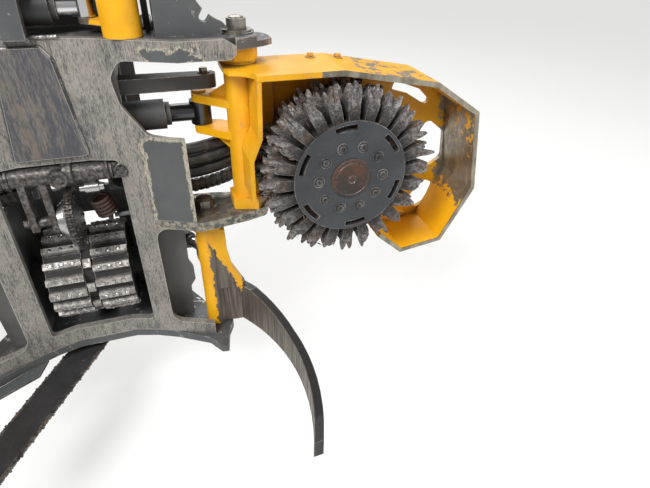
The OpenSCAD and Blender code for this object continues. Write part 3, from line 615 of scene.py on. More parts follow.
    def patch(self, zone: "Patch") -> Socket:
        """1 inside an upright box and 0 outside it, with a ragged border.

        Args:
            zone: The box, its border and its raggedness, in head millimetres.

        Returns:
            The mask.
        """
        ragged = self.times(self.minus(self.noise(38.0, 5.0, 0.7), 0.5), 2 * zone.ragged / MM)
        share: Optional[Socket] = None
        for axis, centre, half in zip(self.axes(), row(zone.centre), zone.half):
            if half == ENDLESS:
                continue
            off = self.plus(self.math("ABSOLUTE", self.minus(axis, centre)), ragged)
            near = self.step(off, (half + zone.soft) / MM, (half - zone.soft) / MM)
            share = near if share is None else self.times(share, near)
        return share

    def shader(self, colour: Socket, rough: Value, metal: Value, bump: Optional[Socket] = None,
               strength: float = 0.3, depth: float = 0.001, coat: float = 0.0) -> bpy.types.Material:
        """Ends the tree in the main shader.

        Args:
            colour: Base colour.
            rough: Roughness.
            metal: How far it is bare metal.
            bump: Height of the surface's relief, or None.
            strength: Strength of the relief.
            depth: Height of the relief in metres.
            coat: Weight of a clear coat.

        Returns:
            The finished material.
        """
        inputs: Inputs = {"Base Color": colour, "Roughness": rough, "Metallic": metal}
        if bump is not None:
            made = self.node("ShaderNodeBump", {"Height": bump, "Strength": strength, "Distance": depth})
            inputs["Normal"] = made.outputs["Normal"]
        if coat:
            inputs["Coat Weight"] = coat
            inputs["Coat Roughness"] = 0.25
        main = self.node("ShaderNodeBsdfPrincipled", inputs)
        self.node("ShaderNodeOutputMaterial", {"Surface": main.outputs[0]})
        return self.material


class Finish:
    """What a surface is dressed in. Its material is made once and kept under its name."""

    name: str
    made: ClassVar[dict[str, bpy.types.Material]] = {}

    def material(self) -> bpy.types.Material:
        """The finish's material, built on its first use.

        Returns:
            The material.
        """
        if self.name not in Finish.made:
            Finish.made[self.name] = self.build()
        return Finish.made[self.name]

    def build(self) -> bpy.types.Material:
        """Builds the material; each finish says how."""
        raise NotImplementedError


@dataclass(frozen=True)
class Patch:
    """A box in head millimetres where a finish wears more, or where rubbed steel keeps its paint; on the
    guard's top plate the worn box is partly a painted shadow.

    Attributes:
        centre: Middle of the box.
        half: Half of its sizes. ENDLESS stands for no bound along that axis.
        gain: How much more it wears, which rubbed steel doesn't use.
        soft: Half width of its border.
        ragged: How far the border wanders.
    """

    centre: Point
    half: Point
    gain: float
    soft: float = 10.0
    ragged: float = 14.0


@dataclass(frozen=True)
class Weathered(Finish):
    """Paint over steel, worn, scratched and dirty.

    Attributes:
        name: The material's name.
        paint: Fresh paint.
        faded: The same paint where sun and rubbing changed it.
        steel: Bare steel where the paint is gone.
        polish: The same steel where it is rubbed bright.
        stain: Brown of rust and bark juice on bare steel.
        grime: Dirt in corners and streaks.
        wear: Share of the surface that is bare, from 0 to 1.
        edge: How much more the edges are worn.
        dirt: Amount of grime.
        stains: Amount of stain on bare steel.
        gloss: Roughness of clean paint.
        grain: Waves a metre of the wear, across and along the streaks.
        patches: Places that wear more or less.
        coat: Weight of the paint's clear coat.
    """

    name: str
    paint: Colour = (0.1, 0.1, 0.1)
    faded: Colour = (0.14, 0.14, 0.14)
    steel: Colour = (0.17, 0.16, 0.15)
    polish: Colour = (0.42, 0.40, 0.38)
    stain: Colour = (0.13, 0.07, 0.035)
    grime: Colour = (0.035, 0.028, 0.022)
    wear: float = 0.2
    edge: float = 0.5
    dirt: float = 0.4
    stains: float = 0.4
    gloss: float = 0.42
    grain: tuple[float, float] = (46.0, 7.0)
    patches: tuple[Patch, ...] = ()
    coat: float = 0.0

    def build(self) -> bpy.types.Material:
        """Lays paint, bare steel, stains, scratches and grime over each other.

        The bare share is a smooth step of fractal noise, shifted by the wear, the edges and the patches.

        Returns:
            The material.
        """
        tree = Graph(self.name)
        streaks = tree.stretched(*self.grain)
        drawn = tree.noise(1.0, 5.0, 0.62, streaks)
        fine = tree.noise(3.2, 6.0, 0.7, streaks)
        cloud = tree.noise(9.0, 4.0, 0.6)
        crumb = tree.noise(230.0, 4.0, 0.65)
        edge = tree.edges(0.006)
        shut = tree.hollows(0.05)

        paint = tree.mix(tree.step(cloud, 0.35, 0.7), self.paint, self.faded)
        paint = tree.mix(tree.step(crumb, 0.62, 0.78, 0.0, 0.35), paint, self.polish)
        steel = tree.mix(tree.step(drawn, 0.36, 0.66), self.steel, self.polish)
        steel = tree.mix(tree.step(fine, 0.56, 0.70, 0.0, 0.55), steel, self.polish)
        blots = tree.noise(0.55, 4.0, 0.6, streaks, 0.4)
        brown = tree.times(tree.step(blots, 0.62 - 0.3 * self.stains, 0.72), 0.85)
        steel = tree.mix(brown, steel, self.stain)

        worn_more = [(tree.patch(zone), zone.gain) for zone in self.patches]
        level = tree.weighted((drawn, 0.5), (crumb, 0.22), (cloud, 0.28), (edge, 0.32 * self.edge),
                              *worn_more)
        border, soft = 0.74 - 0.48 * self.wear, 0.018
        bare = tree.step(level, border - soft, border + soft)
        colour = tree.mix(bare, paint, steel)

        soot = tree.weighted((shut, 0.55), (tree.noise(0.8, 4.0, 0.65, streaks), 0.5))
        dirty = tree.step(soot, 0.82 - 0.55 * self.dirt, 1.05 - 0.4 * self.dirt, 0.0, 0.88)
        colour = tree.mix(dirty, colour, self.grime)
        painted = tree.step(cloud, 0.3, 0.7, self.gloss, self.gloss + 0.14)
        rough = tree.blend(bare, painted, tree.step(fine, 0.35, 0.7, 0.52, 0.30))
        rough = tree.blend(dirty, rough, 0.8)
        clean = tree.times(bare, tree.minus(1.0, brown))
        metal = tree.times(clean, tree.minus(0.75, tree.times(dirty, 0.75)))
        relief = tree.weighted((tree.minus(1.0, bare), 0.5), (fine, 0.35), (crumb, 0.25))
        return tree.shader(colour, rough, metal, relief, 0.35, 0.0008, self.coat)


@dataclass(frozen=True)
class BarkSteel(Finish):
    """Rough steel of the spikes and ribs: dark scale, tan wood dust, rust and bright rubbed edges.

    Attributes:
        name: The material's name.
        scale: Dark mill scale.
        dust: Wood dust packed between the spikes.
        rust: Rust.
        bright: Steel rubbed bright on the edges.
        worn: How much is rubbed bright, from 0 to 1.
        dusty: How much wood dust lies on it, from 0 to 1.
    """

    name: str
    scale: Colour = (0.045, 0.038, 0.036)
    dust: Colour = (0.30, 0.145, 0.062)
    rust: Colour = (0.10, 0.038, 0.018)
    bright: Colour = (0.38, 0.35, 0.34)
    worn: float = 0.5
    dusty: float = 0.4

    def build(self) -> bpy.types.Material:
        """Mixes scale, rust, dust and bright edges by noise of falling size.

        Returns:
            The material.
        """
        tree = Graph(self.name)
        broad = tree.noise(22.0, 4.0, 0.6)
        mid = tree.noise(85.0, 5.0, 0.68, bend=0.3)
        crumb = tree.noise(420.0, 4.0, 0.7)
        edge = tree.edges(0.003)
        colour = tree.mix(tree.step(broad, 0.42, 0.62), self.scale, self.rust)
        raised = tree.plus(mid, tree.times(edge, 0.30))
        rubbed = tree.step(raised, 0.74 - 0.28 * self.worn, 0.80 - 0.2 * self.worn)
        colour = tree.mix(rubbed, colour, self.bright)
        packed = tree.weighted((tree.noise(34.0, 5.0, 0.7), 0.7), (crumb, 0.3))
        dusty = tree.step(packed, 0.68 - 0.22 * self.dusty, 0.74 - 0.2 * self.dusty)
        colour = tree.mix(dusty, colour, tree.mix(crumb, self.dust, self.scale))
        rough = tree.blend(rubbed, 0.72, 0.36)
        metal = tree.times(rubbed, tree.minus(0.8, tree.times(dusty, 0.8)))
        relief = tree.plus(tree.times(crumb, 0.5), mid)
        return tree.shader(colour, rough, metal, relief, 0.5, 0.0016)


@dataclass(frozen=True)
class RubbedSteel(Finish):
    """Steel rubbed by stems: fine bright and dark grain, rust streaks, and paint left in sheltered places.

    Attributes:
        name: The material's name.
        dark: The grain's dark side.
        light: The grain's light side.
        rust: Brown streaks.
        border: Dry dust on the border of the paint that is left.
        bright: Edges rubbed bright.
        grime: Dirt in corners.
        share: How much of the grain is light, from 0 to 1.
        grain: Waves a metre of the grain, across and along.
        patches: Places where the paint is left.
    """

    name: str
    dark: Colour = (0.080, 0.080, 0.083)
    light: Colour = (0.31, 0.285, 0.255)
    rust: Colour = (0.16, 0.105, 0.065)
    border: Colour = (0.56, 0.50, 0.36)
    bright: Colour = (0.62, 0.60, 0.56)
    grime: Colour = (0.05, 0.042, 0.035)
    share: float = 0.5
    grain: tuple[float, float] = (420.0, 80.0)
    patches: tuple[Patch, ...] = ()

    def build(self) -> bpy.types.Material:
        """Mixes the grain by three noises of falling size, then lays rust, paint and bright edges on it.

        Returns:
            The material.
        """
        tree = Graph(self.name)
        across, along = self.grain
        fine = tree.noise(1.0, 5.0, 0.72, tree.stretched(across, along))
        drawn = tree.noise(1.0, 5.0, 0.66, tree.stretched(across / 6, along / 9))
        cloud = tree.noise(8.0, 4.0, 0.6)
        edge = tree.edges(0.004)
        level = tree.weighted((fine, 0.52), (drawn, 0.30), (cloud, 0.18))
        middle, soft = 0.60 - 0.2 * self.share, 0.10
        colour = tree.mix(tree.step(level, middle - soft, middle + soft), self.dark, self.light)
        browned = tree.step(tree.weighted((drawn, 0.6), (fine, 0.4)), 0.53, 0.66, 0, 0.7)
        colour = tree.mix(browned, colour, self.rust)
        kept: Value = 0.0
        for zone in self.patches:
            share = tree.patch(zone)
            rim = tree.times(tree.step(share, 0.02, 0.3), tree.step(fine, 0.40, 0.56))
            colour = tree.mix(tree.times(rim, 0.85), colour, self.border)
            kept = tree.math("MAXIMUM", kept, tree.step(share, 0.55, 0.75))
        paint = tree.mix(tree.step(cloud, 0.3, 0.7), GREY, GREY_FADED)
        colour = tree.mix(kept, colour, paint)
        colour = tree.mix(tree.times(edge, 0.75), colour, self.bright)
        dirty = tree.step(tree.weighted((tree.hollows(0.03), 0.6), (drawn, 0.4)), 0.5, 0.8, 0, 0.75)
        colour = tree.mix(dirty, colour, self.grime)
        metal = tree.times(tree.minus(1.0, kept), tree.step(level, 0.4, 0.6, 0.15, 0.4))
        rough = tree.step(fine, 0.3, 0.7, 0.62, 0.40)
        return tree.shader(colour, rough, metal, tree.plus(fine, kept), 0.4, 0.0008)


@dataclass(frozen=True)
class WornRim(Finish):
    """Ribs or spikes round an axis: dark and dirty near the root, rubbed bright on the outside.

    Attributes:
        name: The material's name.
        centre: Where the axis passes, in head millimetres; a coordinate along the axis is not used.
        along: Which coordinate runs along the axis.
        root: Radius where the dirt ends.
        tip: Radius from which it is rubbed.
        low: Dirt in the grooves.
        mid: Worn scale.
        top: Rubbed steel.
        dust: Wood dust.
        dusty: How much wood dust lies on it, from 0 to 1.
    """

    name: str
    centre: Point
    along: int
    root: float
    tip: float
    low: Colour = (0.022, 0.019, 0.018)
    mid: Colour = (0.13, 0.115, 0.105)
    top: Colour = (0.46, 0.43, 0.40)
    dust: Colour = (0.30, 0.18, 0.095)
    dusty: float = 0.3

    def build(self) -> bpy.types.Material:
        """Takes the distance from the axis and mixes dirt, scale and steel by it and by noise.

        Returns:
            The material.
        """
        tree = Graph(self.name)
        x, y, z = tree.axes()
        axes, at = (tree.math("ABSOLUTE", x), y, z), row(self.centre)
        reach = tree.length(*[tree.minus(axes[k], at[k]) for k in range(3) if k != self.along])
        mid = tree.noise(70.0, 5.0, 0.7, bend=0.3)
        crumb = tree.noise(330.0, 4.0, 0.7)
        edge = tree.edges(0.003)
        out = tree.step(reach, self.root / MM, self.tip / MM)
        worn = tree.mix(tree.step(crumb, 0.35, 0.65), self.mid, tree.mix(0.5, self.mid, self.top))
        colour = tree.mix(out, self.low, worn)
        rubbed = tree.times(out, tree.step(tree.weighted((mid, 0.7), (crumb, 0.3)), 0.49, 0.55))
        rubbed = tree.math("MAXIMUM", rubbed, tree.times(edge, tree.step(mid, 0.35, 0.55)))
        colour = tree.mix(tree.times(rubbed, 0.8), colour, self.top)
        packed = tree.weighted((tree.noise(30.0, 5.0, 0.7), 0.6), (crumb, 0.4))
        dusty = tree.step(packed, 0.66 - 0.25 * self.dusty, 0.72 - 0.22 * self.dusty, 0.0, 0.85)
        colour = tree.mix(dusty, colour, tree.mix(crumb, self.dust, self.low))
        metal = tree.times(rubbed, 0.35)
        return tree.shader(colour, tree.blend(rubbed, 0.75, 0.42), metal, tree.plus(crumb, mid), 0.5, 0.0014)


@dataclass(frozen=True)
class HoseRubber(Finish):
    """Black hose cover with a fine wrap and grey dust.

    Attributes:
        name: The material's name.
        rubber: Colour of the cover.
        dust: Colour of the dust on it.
    """

    name: str
    rubber: Colour = (0.022, 0.021, 0.021)
    dust: Colour = (0.13, 0.115, 0.10)

    def build(self) -> bpy.types.Material:
        """Mixes rubber and dust, with a fine woven relief.

        Returns:
            The material.
        """
        tree = Graph(self.name)
        cloud = tree.noise(26.0, 5.0, 0.65)
        weave = tree.noise(900.0, 2.0, 0.5)
        dusty = tree.step(cloud, 0.46, 0.72, 0.0, 0.62)
        colour = tree.mix(dusty, self.rubber, self.dust)
        return tree.shader(colour, tree.step(cloud, 0.4, 0.7, 0.42, 0.7), 0.0, weave, 0.35, 0.0006)


@dataclass(frozen=True)
class TurnedSteel(Finish):
    """Turned or plated steel of rods, fittings and fasteners, with oil and dust.

    Attributes:
        name: The material's name.
        metal: Colour of the clean metal.
        oil: Colour of old oil and dust.
        rough: Roughness of the clean metal.
        dirt: Amount of oil and dust.
    """

    name: str
    metal: Colour = (0.46, 0.45, 0.44)
    oil: Colour = (0.06, 0.045, 0.032)
    rough: float = 0.25
    dirt: float = 0.4

    def build(self) -> bpy.types.Material:
        """Mixes clean metal and oily dust, thickest in the corners.

        Returns:
            The material.
        """
        tree = Graph(self.name)
        cloud = tree.noise(60.0, 5.0, 0.68)
        shut = tree.hollows(0.02)
        soot = tree.plus(cloud, tree.times(shut, 0.35))
        dirty = tree.step(soot, 0.85 - 0.4 * self.dirt, 1.0 - 0.3 * self.dirt)
        colour = tree.mix(dirty, self.metal, self.oil)
        rough = tree.blend(dirty, self.rough, 0.7)
        return tree.shader(colour, rough, tree.minus(0.95, dirty), cloud, 0.2, 0.0004)


@dataclass(frozen=True)
class KnifeFinish(Finish):
    """A knife: painted round its hinge, very dark outside as painted shade, its hollow face rubbed brown by
    bark.

    Attributes:
        name: The material's name.
        hinge: Plan position of the hinge's axis on the right side, in head millimetres.
        centre: Plan position of the axis that the hollow face is turned about.
        radius: Radius of the hollow face.
        painted: How far the paint reaches from the hinge.
        bare: X beyond which the paint is rubbed off, and the bound of z + slant x under which it is, with z
            measured from the flange. The X given where nothing is said lies beyond the head.
        slant: Fall of that bound for each millimetre of X.
        black: Painted shade, very dark, on the outside, and the same where it is dusty.
        brown: The hollow face, and the same where bark rubbed it.
        pale: Long pale streaks in the hollow face.
        bright: Edges rubbed bright.
    """

    name: str
    hinge: tuple[float, float]
    centre: tuple[float, float]
    radius: float
    painted: float = 74.0
    bare: tuple[float, float] = (9000.0, 0.0)
    slant: float = 2.44
    black: tuple[Colour, Colour] = ((0.022, 0.021, 0.021), (0.07, 0.06, 0.052))
    brown: tuple[Colour, Colour] = ((0.085, 0.066, 0.050), (0.17, 0.145, 0.118))
    pale: Colour = (0.20, 0.185, 0.165)
    bright: Colour = (0.32, 0.30, 0.28)

    def reach(self, tree: Graph, axis: tuple[float, float]) -> Socket:
        """Distance in plan from an upright axis, with left and right alike.

        Args:
            tree: The material's node tree.
            axis: Plan position of the axis on the right side, in head millimetres.

        Returns:
            The distance in metres.
        """
        x, y, _ = tree.axes()
        at = row((*axis, 0))
        return tree.length(tree.minus(tree.math("ABSOLUTE", x), at[0]), tree.minus(y, at[1]))

    def paint(self, tree: Graph, scuff: Socket) -> Socket:
        """Where paint is left: near the hinge, but for the scuffs and for the side that stems rub off.

        Args:
            tree: The material's node tree.
            scuff: Places where it is scuffed off.

        Returns:
            1 on paint and 0 beside it.
        """
        ragged = tree.times(tree.minus(tree.noise(48.0, 5.0, 0.7), 0.5), 0.045)
        away = tree.plus(self.reach(tree, self.hinge), ragged)
        near = tree.step(away, (self.painted + 3) / MM, (self.painted - 3) / MM)
        x, _, z = tree.axes()
        aside = tree.plus(tree.math("ABSOLUTE", x), ragged)
        fall = tree.plus(z, tree.times(aside, self.slant))
        side, bound = self.bare
        rubbed_off = tree.times(tree.step(aside, side / MM, (side + 3) / MM),
                             tree.step(fall, (bound + 4) / MM, (bound - 4) / MM))
        return tree.times(tree.times(near, tree.minus(1.0, scuff)), tree.minus(1.0, rubbed_off))

    def build(self) -> bpy.types.Material:
        """Chooses between three layers by the distance from the hinge and from the hollow face's axis.

        Returns:
            The material.
        """
        tree = Graph(self.name)
        grain = tree.noise(1.0, 5.0, 0.65, tree.stretched(110.0, 5.0))
        streaks = tree.noise(0.7, 4.0, 0.6, tree.stretched(60.0, 4.0))
        cloud = tree.noise(14.0, 4.0, 0.6)
        crumb = tree.noise(260.0, 4.0, 0.7)
        edge = tree.edges(0.005)
        brown = tree.mix(tree.step(grain, 0.38, 0.64), *self.brown)
        brown = tree.mix(tree.step(streaks, 0.5, 0.68, 0.0, 0.8), brown, self.pale)
        # Painted shade: everything off the hollow face gets a very dark colour that stands for shade.
        black = tree.mix(tree.step(crumb, 0.55, 0.75, 0.0, 0.5), *self.black)
        hollow = tree.step(self.reach(tree, self.centre), (self.radius + 3.0) / MM, (self.radius + 1.5) / MM)
        rubbed = tree.times(edge, tree.step(cloud, 0.3, 0.6))
        metal = tree.mix(tree.times(rubbed, 0.8), tree.mix(hollow, black, brown), self.bright)

        paint = self.paint(tree, tree.step(tree.plus(crumb, tree.times(edge, 0.25)), 0.66, 0.74))
        colour = tree.mix(paint, metal, tree.mix(tree.step(cloud, 0.35, 0.7), YELLOW, YELLOW_FADED))
        rough = tree.blend(paint, tree.step(grain, 0.35, 0.65, 0.62, 0.38), 0.42)
        shine = tree.times(tree.minus(1.0, paint), tree.times(hollow, 0.45))
        relief = tree.weighted((paint, 0.5), (grain, 0.4), (crumb, 0.3))
        return tree.shader(colour, rough, shine, relief, 0.4, 0.0009)


YELLOW: Colour = (0.93, 0.47, 0.006)
YELLOW_FADED: Colour = (0.84, 0.39, 0.008)
GREY: Colour = (0.074, 0.079, 0.082)
GREY_FADED: Colour = (0.100, 0.103, 0.104)
BLACK: Colour = (0.024, 0.025, 0.028)
BLACK_FADED: Colour = (0.045, 0.046, 0.048)

SKIN = RubbedSteel(
    "skin_steel", light=(0.41, 0.38, 0.335), share=0.54,
    patches=(Patch((276, 0, 556), (50, ENDLESS, 130), 1.0, 12, 16),
             Patch((330, 0, 893), (66, ENDLESS, 15), 1.0, 10, 34)))
PLATE = Weathered("plate_paint", GREY, GREY_FADED, wear=0.34, edge=0.95, dirt=0.45, stains=0.6,
                  grain=(34.0, 20.0))
LUG = Weathered("lug_paint", GREY, GREY_FADED, (0.20, 0.185, 0.15), (0.40, 0.37, 0.30), wear=0.52,
                edge=1.0, dirt=0.35, stains=0.45, grain=(60.0, 60.0))
INNER_PLATE = Weathered("inner_plate_paint", (0.125, 0.13, 0.132), (0.16, 0.16, 0.158), wear=0.16,
                        edge=0.7, dirt=0.3, grain=(30.0, 14.0))
WEAR = RubbedSteel("wear_plate_steel", (0.072, 0.074, 0.088), (0.24, 0.215, 0.18), (0.17, 0.11, 0.065),
                   share=0.36, grain=(260.0, 42.0))
YELLOW_ARM = Weathered(
    "arm_paint", YELLOW, YELLOW_FADED, wear=0.10, edge=0.42, dirt=0.22, stains=0.5, gloss=0.38,
    grain=(30.0, 12.0), coat=0.12, patches=(Patch((500, 0, 690), (40, ENDLESS, 34), 0.06, 14, 30),))
YELLOW_GUARD = Weathered(
    "guard_paint", YELLOW, YELLOW_FADED, (0.20, 0.18, 0.14), (0.42, 0.38, 0.30), wear=0.10, edge=0.5,
    dirt=0.5, stains=0.3, gloss=0.40, grain=(22.0, 12.0), coat=0.1,
    patches=(Patch((1010, -171, 560), (330, 3, ENDLESS), 0.7, 2, 3),
             # Worn paint on the top plate's right part; its wide soft border is partly a painted shadow.
             Patch((960, -90, 860), (190, ENDLESS, 60), 0.20, 70, 150),
             Patch((1215, -80, 600), (70, ENDLESS, 190), 0.30, 26, 70)))
BLACK_PAINT = Weathered("black_paint", BLACK, BLACK_FADED, wear=0.12, edge=0.6, dirt=0.35, gloss=0.45)
GREY_PAINT = Weathered("dark_grey_paint", (0.060, 0.062, 0.064), (0.092, 0.093, 0.093),
                       (0.14, 0.13, 0.12), wear=0.16, edge=0.9, dirt=0.4, gloss=0.5, grain=(60.0, 40.0))
BAR_STEEL = Weathered("saw_bar_steel", (0.018, 0.018, 0.021), (0.030, 0.029, 0.030),
                      (0.07, 0.062, 0.055), wear=0.22, edge=0.7, dirt=0.3, grain=(40.0, 40.0))
ROLLER_FACE = Weathered("roller_face_paint", (0.026, 0.030, 0.034), (0.050, 0.055, 0.060),
                        (0.10, 0.09, 0.085), wear=0.16, edge=0.7, dirt=0.45, stains=0.6,
                        grain=(40.0, 30.0))
SPIKES = WornRim("spike_steel", (746, 0, 590), 1, 160, 236, (0.008, 0.007, 0.0065),
                 (0.034, 0.028, 0.025), (0.36, 0.335, 0.32), (0.26, 0.15, 0.08), 0.5)
RIBS = WornRim("rib_steel", (0, 110, 208), 0, 127, 141, top=(0.60, 0.57, 0.53), dust=(0.22, 0.15, 0.09),
               dusty=0.1)
HUB_RUST = BarkSteel("hub_rust", (0.035, 0.025, 0.021), (0.09, 0.05, 0.03), (0.08, 0.036, 0.02),
                     worn=0.3, dusty=0.25)
WOOD = BarkSteel("wood_splinters", (0.34, 0.17, 0.08), (0.50, 0.32, 0.16), (0.26, 0.10, 0.05),
                 (0.55, 0.40, 0.24), worn=0.1, dusty=0.6)
SPRING = BarkSteel("spring_steel", (0.045, 0.028, 0.022), (0.12, 0.07, 0.045), (0.09, 0.04, 0.024),
                   (0.26, 0.19, 0.15), worn=0.5, dusty=0.3)
GEAR_STEEL = Weathered("gear_steel", steel=(0.042, 0.037, 0.034), polish=(0.19, 0.175, 0.165),
                       stain=(0.05, 0.034, 0.024), wear=0.96, edge=0.5, dirt=0.5, stains=0.5,
                       grain=(110.0, 110.0))
CHAIN = Weathered("chain_steel", steel=(0.05, 0.047, 0.045), polish=(0.20, 0.19, 0.18), wear=0.95,
                  edge=0.5, dirt=0.5)
BRIGHT_STEEL = TurnedSteel("bright_steel", dirt=0.35)
DARK_ROD = TurnedSteel("dark_rod", (0.085, 0.085, 0.09), rough=0.26, dirt=0.4)
FASTENER = TurnedSteel("fastener_steel", (0.30, 0.28, 0.25), rough=0.4, dirt=0.55)
CHROME = TurnedSteel("chrome_rod", (0.62, 0.62, 0.63), rough=0.12, dirt=0.12)
RUBBER = HoseRubber("hose_rubber")
DUSTY_RUBBER = HoseRubber("dusty_rubber", (0.05, 0.045, 0.042), (0.22, 0.19, 0.165))
WELD = Weathered("weld_metal", (0.06, 0.062, 0.066), (0.09, 0.09, 0.092), (0.13, 0.12, 0.11), wear=0.45,
                 edge=0.3, dirt=0.45)
YELLOW_WELD = Weathered("painted_weld", YELLOW, YELLOW_FADED, wear=0.08, edge=0.2, dirt=0.35, coat=0.2)
PAINTED_BOLT = Weathered("painted_bolts", YELLOW, YELLOW_FADED, wear=0.35, edge=0.8, dirt=0.4)
LOWER_KNIFE = KnifeFinish("lower_knife_finish", (365, -20), (-60, -415), 618, 92.0, (357.0, -282.0))
UPPER_KNIFE = KnifeFinish("upper_knife_finish", (230, -10), (-100, -310), 470)

NODE_FINISHES: dict[Finish, tuple[str, ...]] = {
    SKIN: ("front_skin",),
    PLATE: ("top_plate", "bottom_plate", "gussets", "upper_frame", "saw_box"),
    LUG: ("lug_plates",),
    GREY_PAINT: ("stop_bar", "arm_barrel"),
    BAR_STEEL: ("saw_bar",),
    INNER_PLATE: ("back_frame", "side_walls", "bay_plates"),
    WEAR: ("wear_plate", "top_knife"),
    YELLOW_ARM: ("right_arm", "left_arm"),
    YELLOW_GUARD: ("right_guard", "left_guard"),
    BLACK_PAINT: ("tilt_frame", "valve_cover", "right_feed_motor", "left_feed_motor", "upper_barrel",
                  "right_knife_barrel", "left_knife_barrel", "tilt_barrel"),
    LOWER_KNIFE: ("right_lower_knife", "left_lower_knife"),
    UPPER_KNIFE: ("right_upper_knife", "left_upper_knife"),
    SPIKES: ("right_feed_roller", "left_feed_roller"),
    RIBS: ("inner_roller",),
    GEAR_STEEL: ("measuring_pin", "measuring_arm", "measuring_wheel", "measuring_spring", "saw_motor"),
    FASTENER: ("hinge_pins",),
    DARK_ROD: ("arm_rod",),
    CHROME: ("upper_rod", "right_knife_rod", "left_knife_rod", "tilt_rod"),
    RUBBER: ("right_hoses", "left_hoses"),
}


@dataclass
class FeedRoller:
    """A driven roller: a slotted face on a drum, bars of spikes round it, and wood caught between them.

    Attributes:
        side: Which arm carries it.
        axis_x: Distance of its axis from the middle.
        axis_z: Height of its axis.
        rear_y: Where its rear is; its width runs forwards from there.
        width: Width from the rear to the face.
        spiked: Depth of the spiked part behind the face.
        drum: Radius that the drum, the face's rim and the feet of the blocks are set from.
        shoulder: Radius where the blocks end and their points start.
        reach: Radius over the points of the rows behind.
        front: Radius over the points of the row at the face.
        bars: Number of blocks round a row.
        rows: Number of rows.
        block: Half width of a block.
        cap: Radius of the hub's cap.
        bolt_circle: Radius of the hub's bolt circle.
        hub_bolt_count: Number of bolts on it.
        slots: Number of slots in the face.
        slot_middle: Angle of the first slot's middle, in degrees.
        slot_half: Half of a slot's angle, in degrees.
        point_wear: How far a point's end is worn, as a spread in millimetres.
        shortening: How much more of that wear runs inwards.
        most_worn: Most that a point is shortened.
        seed: Seed of the wear.
        wood_seed: Seed of the splinters.
    """

    side: Side
    axis_x: float = 746.0
    axis_z: float = 590.0
    rear_y: float = -18.0
    width: float = 216.0
    spiked: float = 165.0
    drum: float = 158.0
    shoulder: float = 216.0
    reach: float = 243.0
    front: float = 250.0
    bars: int = 24
    rows: int = 3
    block: float = 16.5
    cap: float = 57.0
    bolt_circle: float = 92.0
    hub_bolt_count: int = 10
    slots: int = 6
    slot_middle: float = 38.0
    slot_half: float = 13.0
    point_wear: float = 7.0
    shortening: float = 1.8
    most_worn: float = 28.0
    seed: int = 5
    wood_seed: int = 40

    # signs of a section's four corners, then turned profiles as radius and height
    CORNERS: ClassVar[Array] = np.array([[-1, -1], [1, -1], [1, 1], [-1, 1]], float)
    SPLINTER: ClassVar[Profile] = ((0.1, -0.5), (1.0, -0.12), (0.8, 0.2), (0.06, 0.5))
    BOLT_LIP: ClassVar[Profile] = ((12.5, 0), (16.5, 0), (16.0, 2.0), (13.0, 2.0))
    BOLT: ClassVar[Profile] = ((10.5, 0), (10.5, 4.5), (9.3, 5.6), (5.6, 5.6), (5.4, 2.0), (1.0, 2.0))
    REAR_RING: ClassVar[Profile] = ((126, 2), (190, 2), (192, 4), (192, 15), (190, 17), (126, 17))

    def piece(self, part: str, shape: Shape, finish: Finish, angle: float = SHARP_ANGLE) -> bpy.types.Object:
        """Makes a piece of the roller from a shape drawn with its axis up and the face at its width.

        Args:
            part: The piece's name without its side.
            shape: Its surface.
            finish: What it is dressed in.
            angle: Edges sharper than this stay sharp, in degrees.

        Returns:
            The object, in its place on the arm.
        """
        placed = shape.moved((self.axis_x, self.rear_y, self.axis_z), FORWARDS).mirrored(self.side)
        body = f"{self.side.word}_roller"
        return add_piece(f"{self.side.word}_{part}", placed, finish, body, angle)

    def blocks(self) -> Shape:
        """Blocks with four worn points each, in rows that alternate by half a step.

        A block is a section with four corners whose half sizes change along the radius, from the drum to the
        shoulder; a point goes on from there to a blunt end. Wear shortens and leans each point at random.

        Returns:
            The blocks and points of all rows.
        """
        rng = np.random.default_rng(self.seed + self.side.value)
        depth = self.spiked / self.rows
        block = [(self.drum - 6, 0.80, 0.48), (self.shoulder - 30, 0.96, 0.47),
                 (self.shoulder - 8, 1.0, 0.45), (self.shoulder, 0.84, 0.40)]
        made = []
        for k in range(self.rows):
            middle = self.width - (k + 0.5) * depth
            turn = np.radians((np.arange(self.bars) + (k % 2) / 2) * 360 / self.bars)
            point = [(self.shoulder - 12, 0.46, 0.20), (self.shoulder + 14, 0.36, 0.17),
                     (self.reach if k else self.front, 0.14, 0.06)]
            made.append(self.spread(block, (0.0, middle), turn, rng, 1.0))
            for aside in (-0.5, 0.5):
                for part in (-0.24, 0.24):
                    place = (aside * self.block, middle + part * depth)
                    made.append(self.spread(point, place, turn, rng, self.point_wear))
        return joined(made)

    def spread(self, sizes: Sequence[tuple[float, float, float]], middle: tuple[float, float],
               turn: Array, rng: np.random.Generator, wear: float) -> Shape:
        """One block or point at every angle of a row.

        Args:
            sizes: Radius, share of the block's half width and share of a row's depth, for each ring.
            middle: The section's middle, aside of the block's and along the roller.
            turn: Angles of the row's blocks, in radians.
            rng: Source of the wear.
            wear: How far the outermost ring moves, in millimetres.

        Returns:
            The row of blocks or points.
        """
        radius, wide, deep = np.asarray(sizes, float).T
        depth = self.spiked / self.rows
        rings = np.stack([np.broadcast_to(radius[:, None], (len(radius), 4)),
                          middle[0] + wide[:, None] * self.block * self.CORNERS[None, :, 0],
                          middle[1] + deep[:, None] * depth * self.CORNERS[None, :, 1]], axis=-1)
        one = loft(rings)
        grown = (one.points[:, 0] - radius[0]) / (radius[-1] - radius[0])
        lean = rng.normal(0, wear, (len(turn), 1, 3)) * grown[None, :, None]
        lean[..., 0] = -np.minimum(np.abs(lean[..., 0]) * self.shortening, self.most_worn * grown)
        points = np.einsum("nij,npj->npi", turns_about(turn, 2), one.points[None] + lean)
        return copies(points, one.faces)

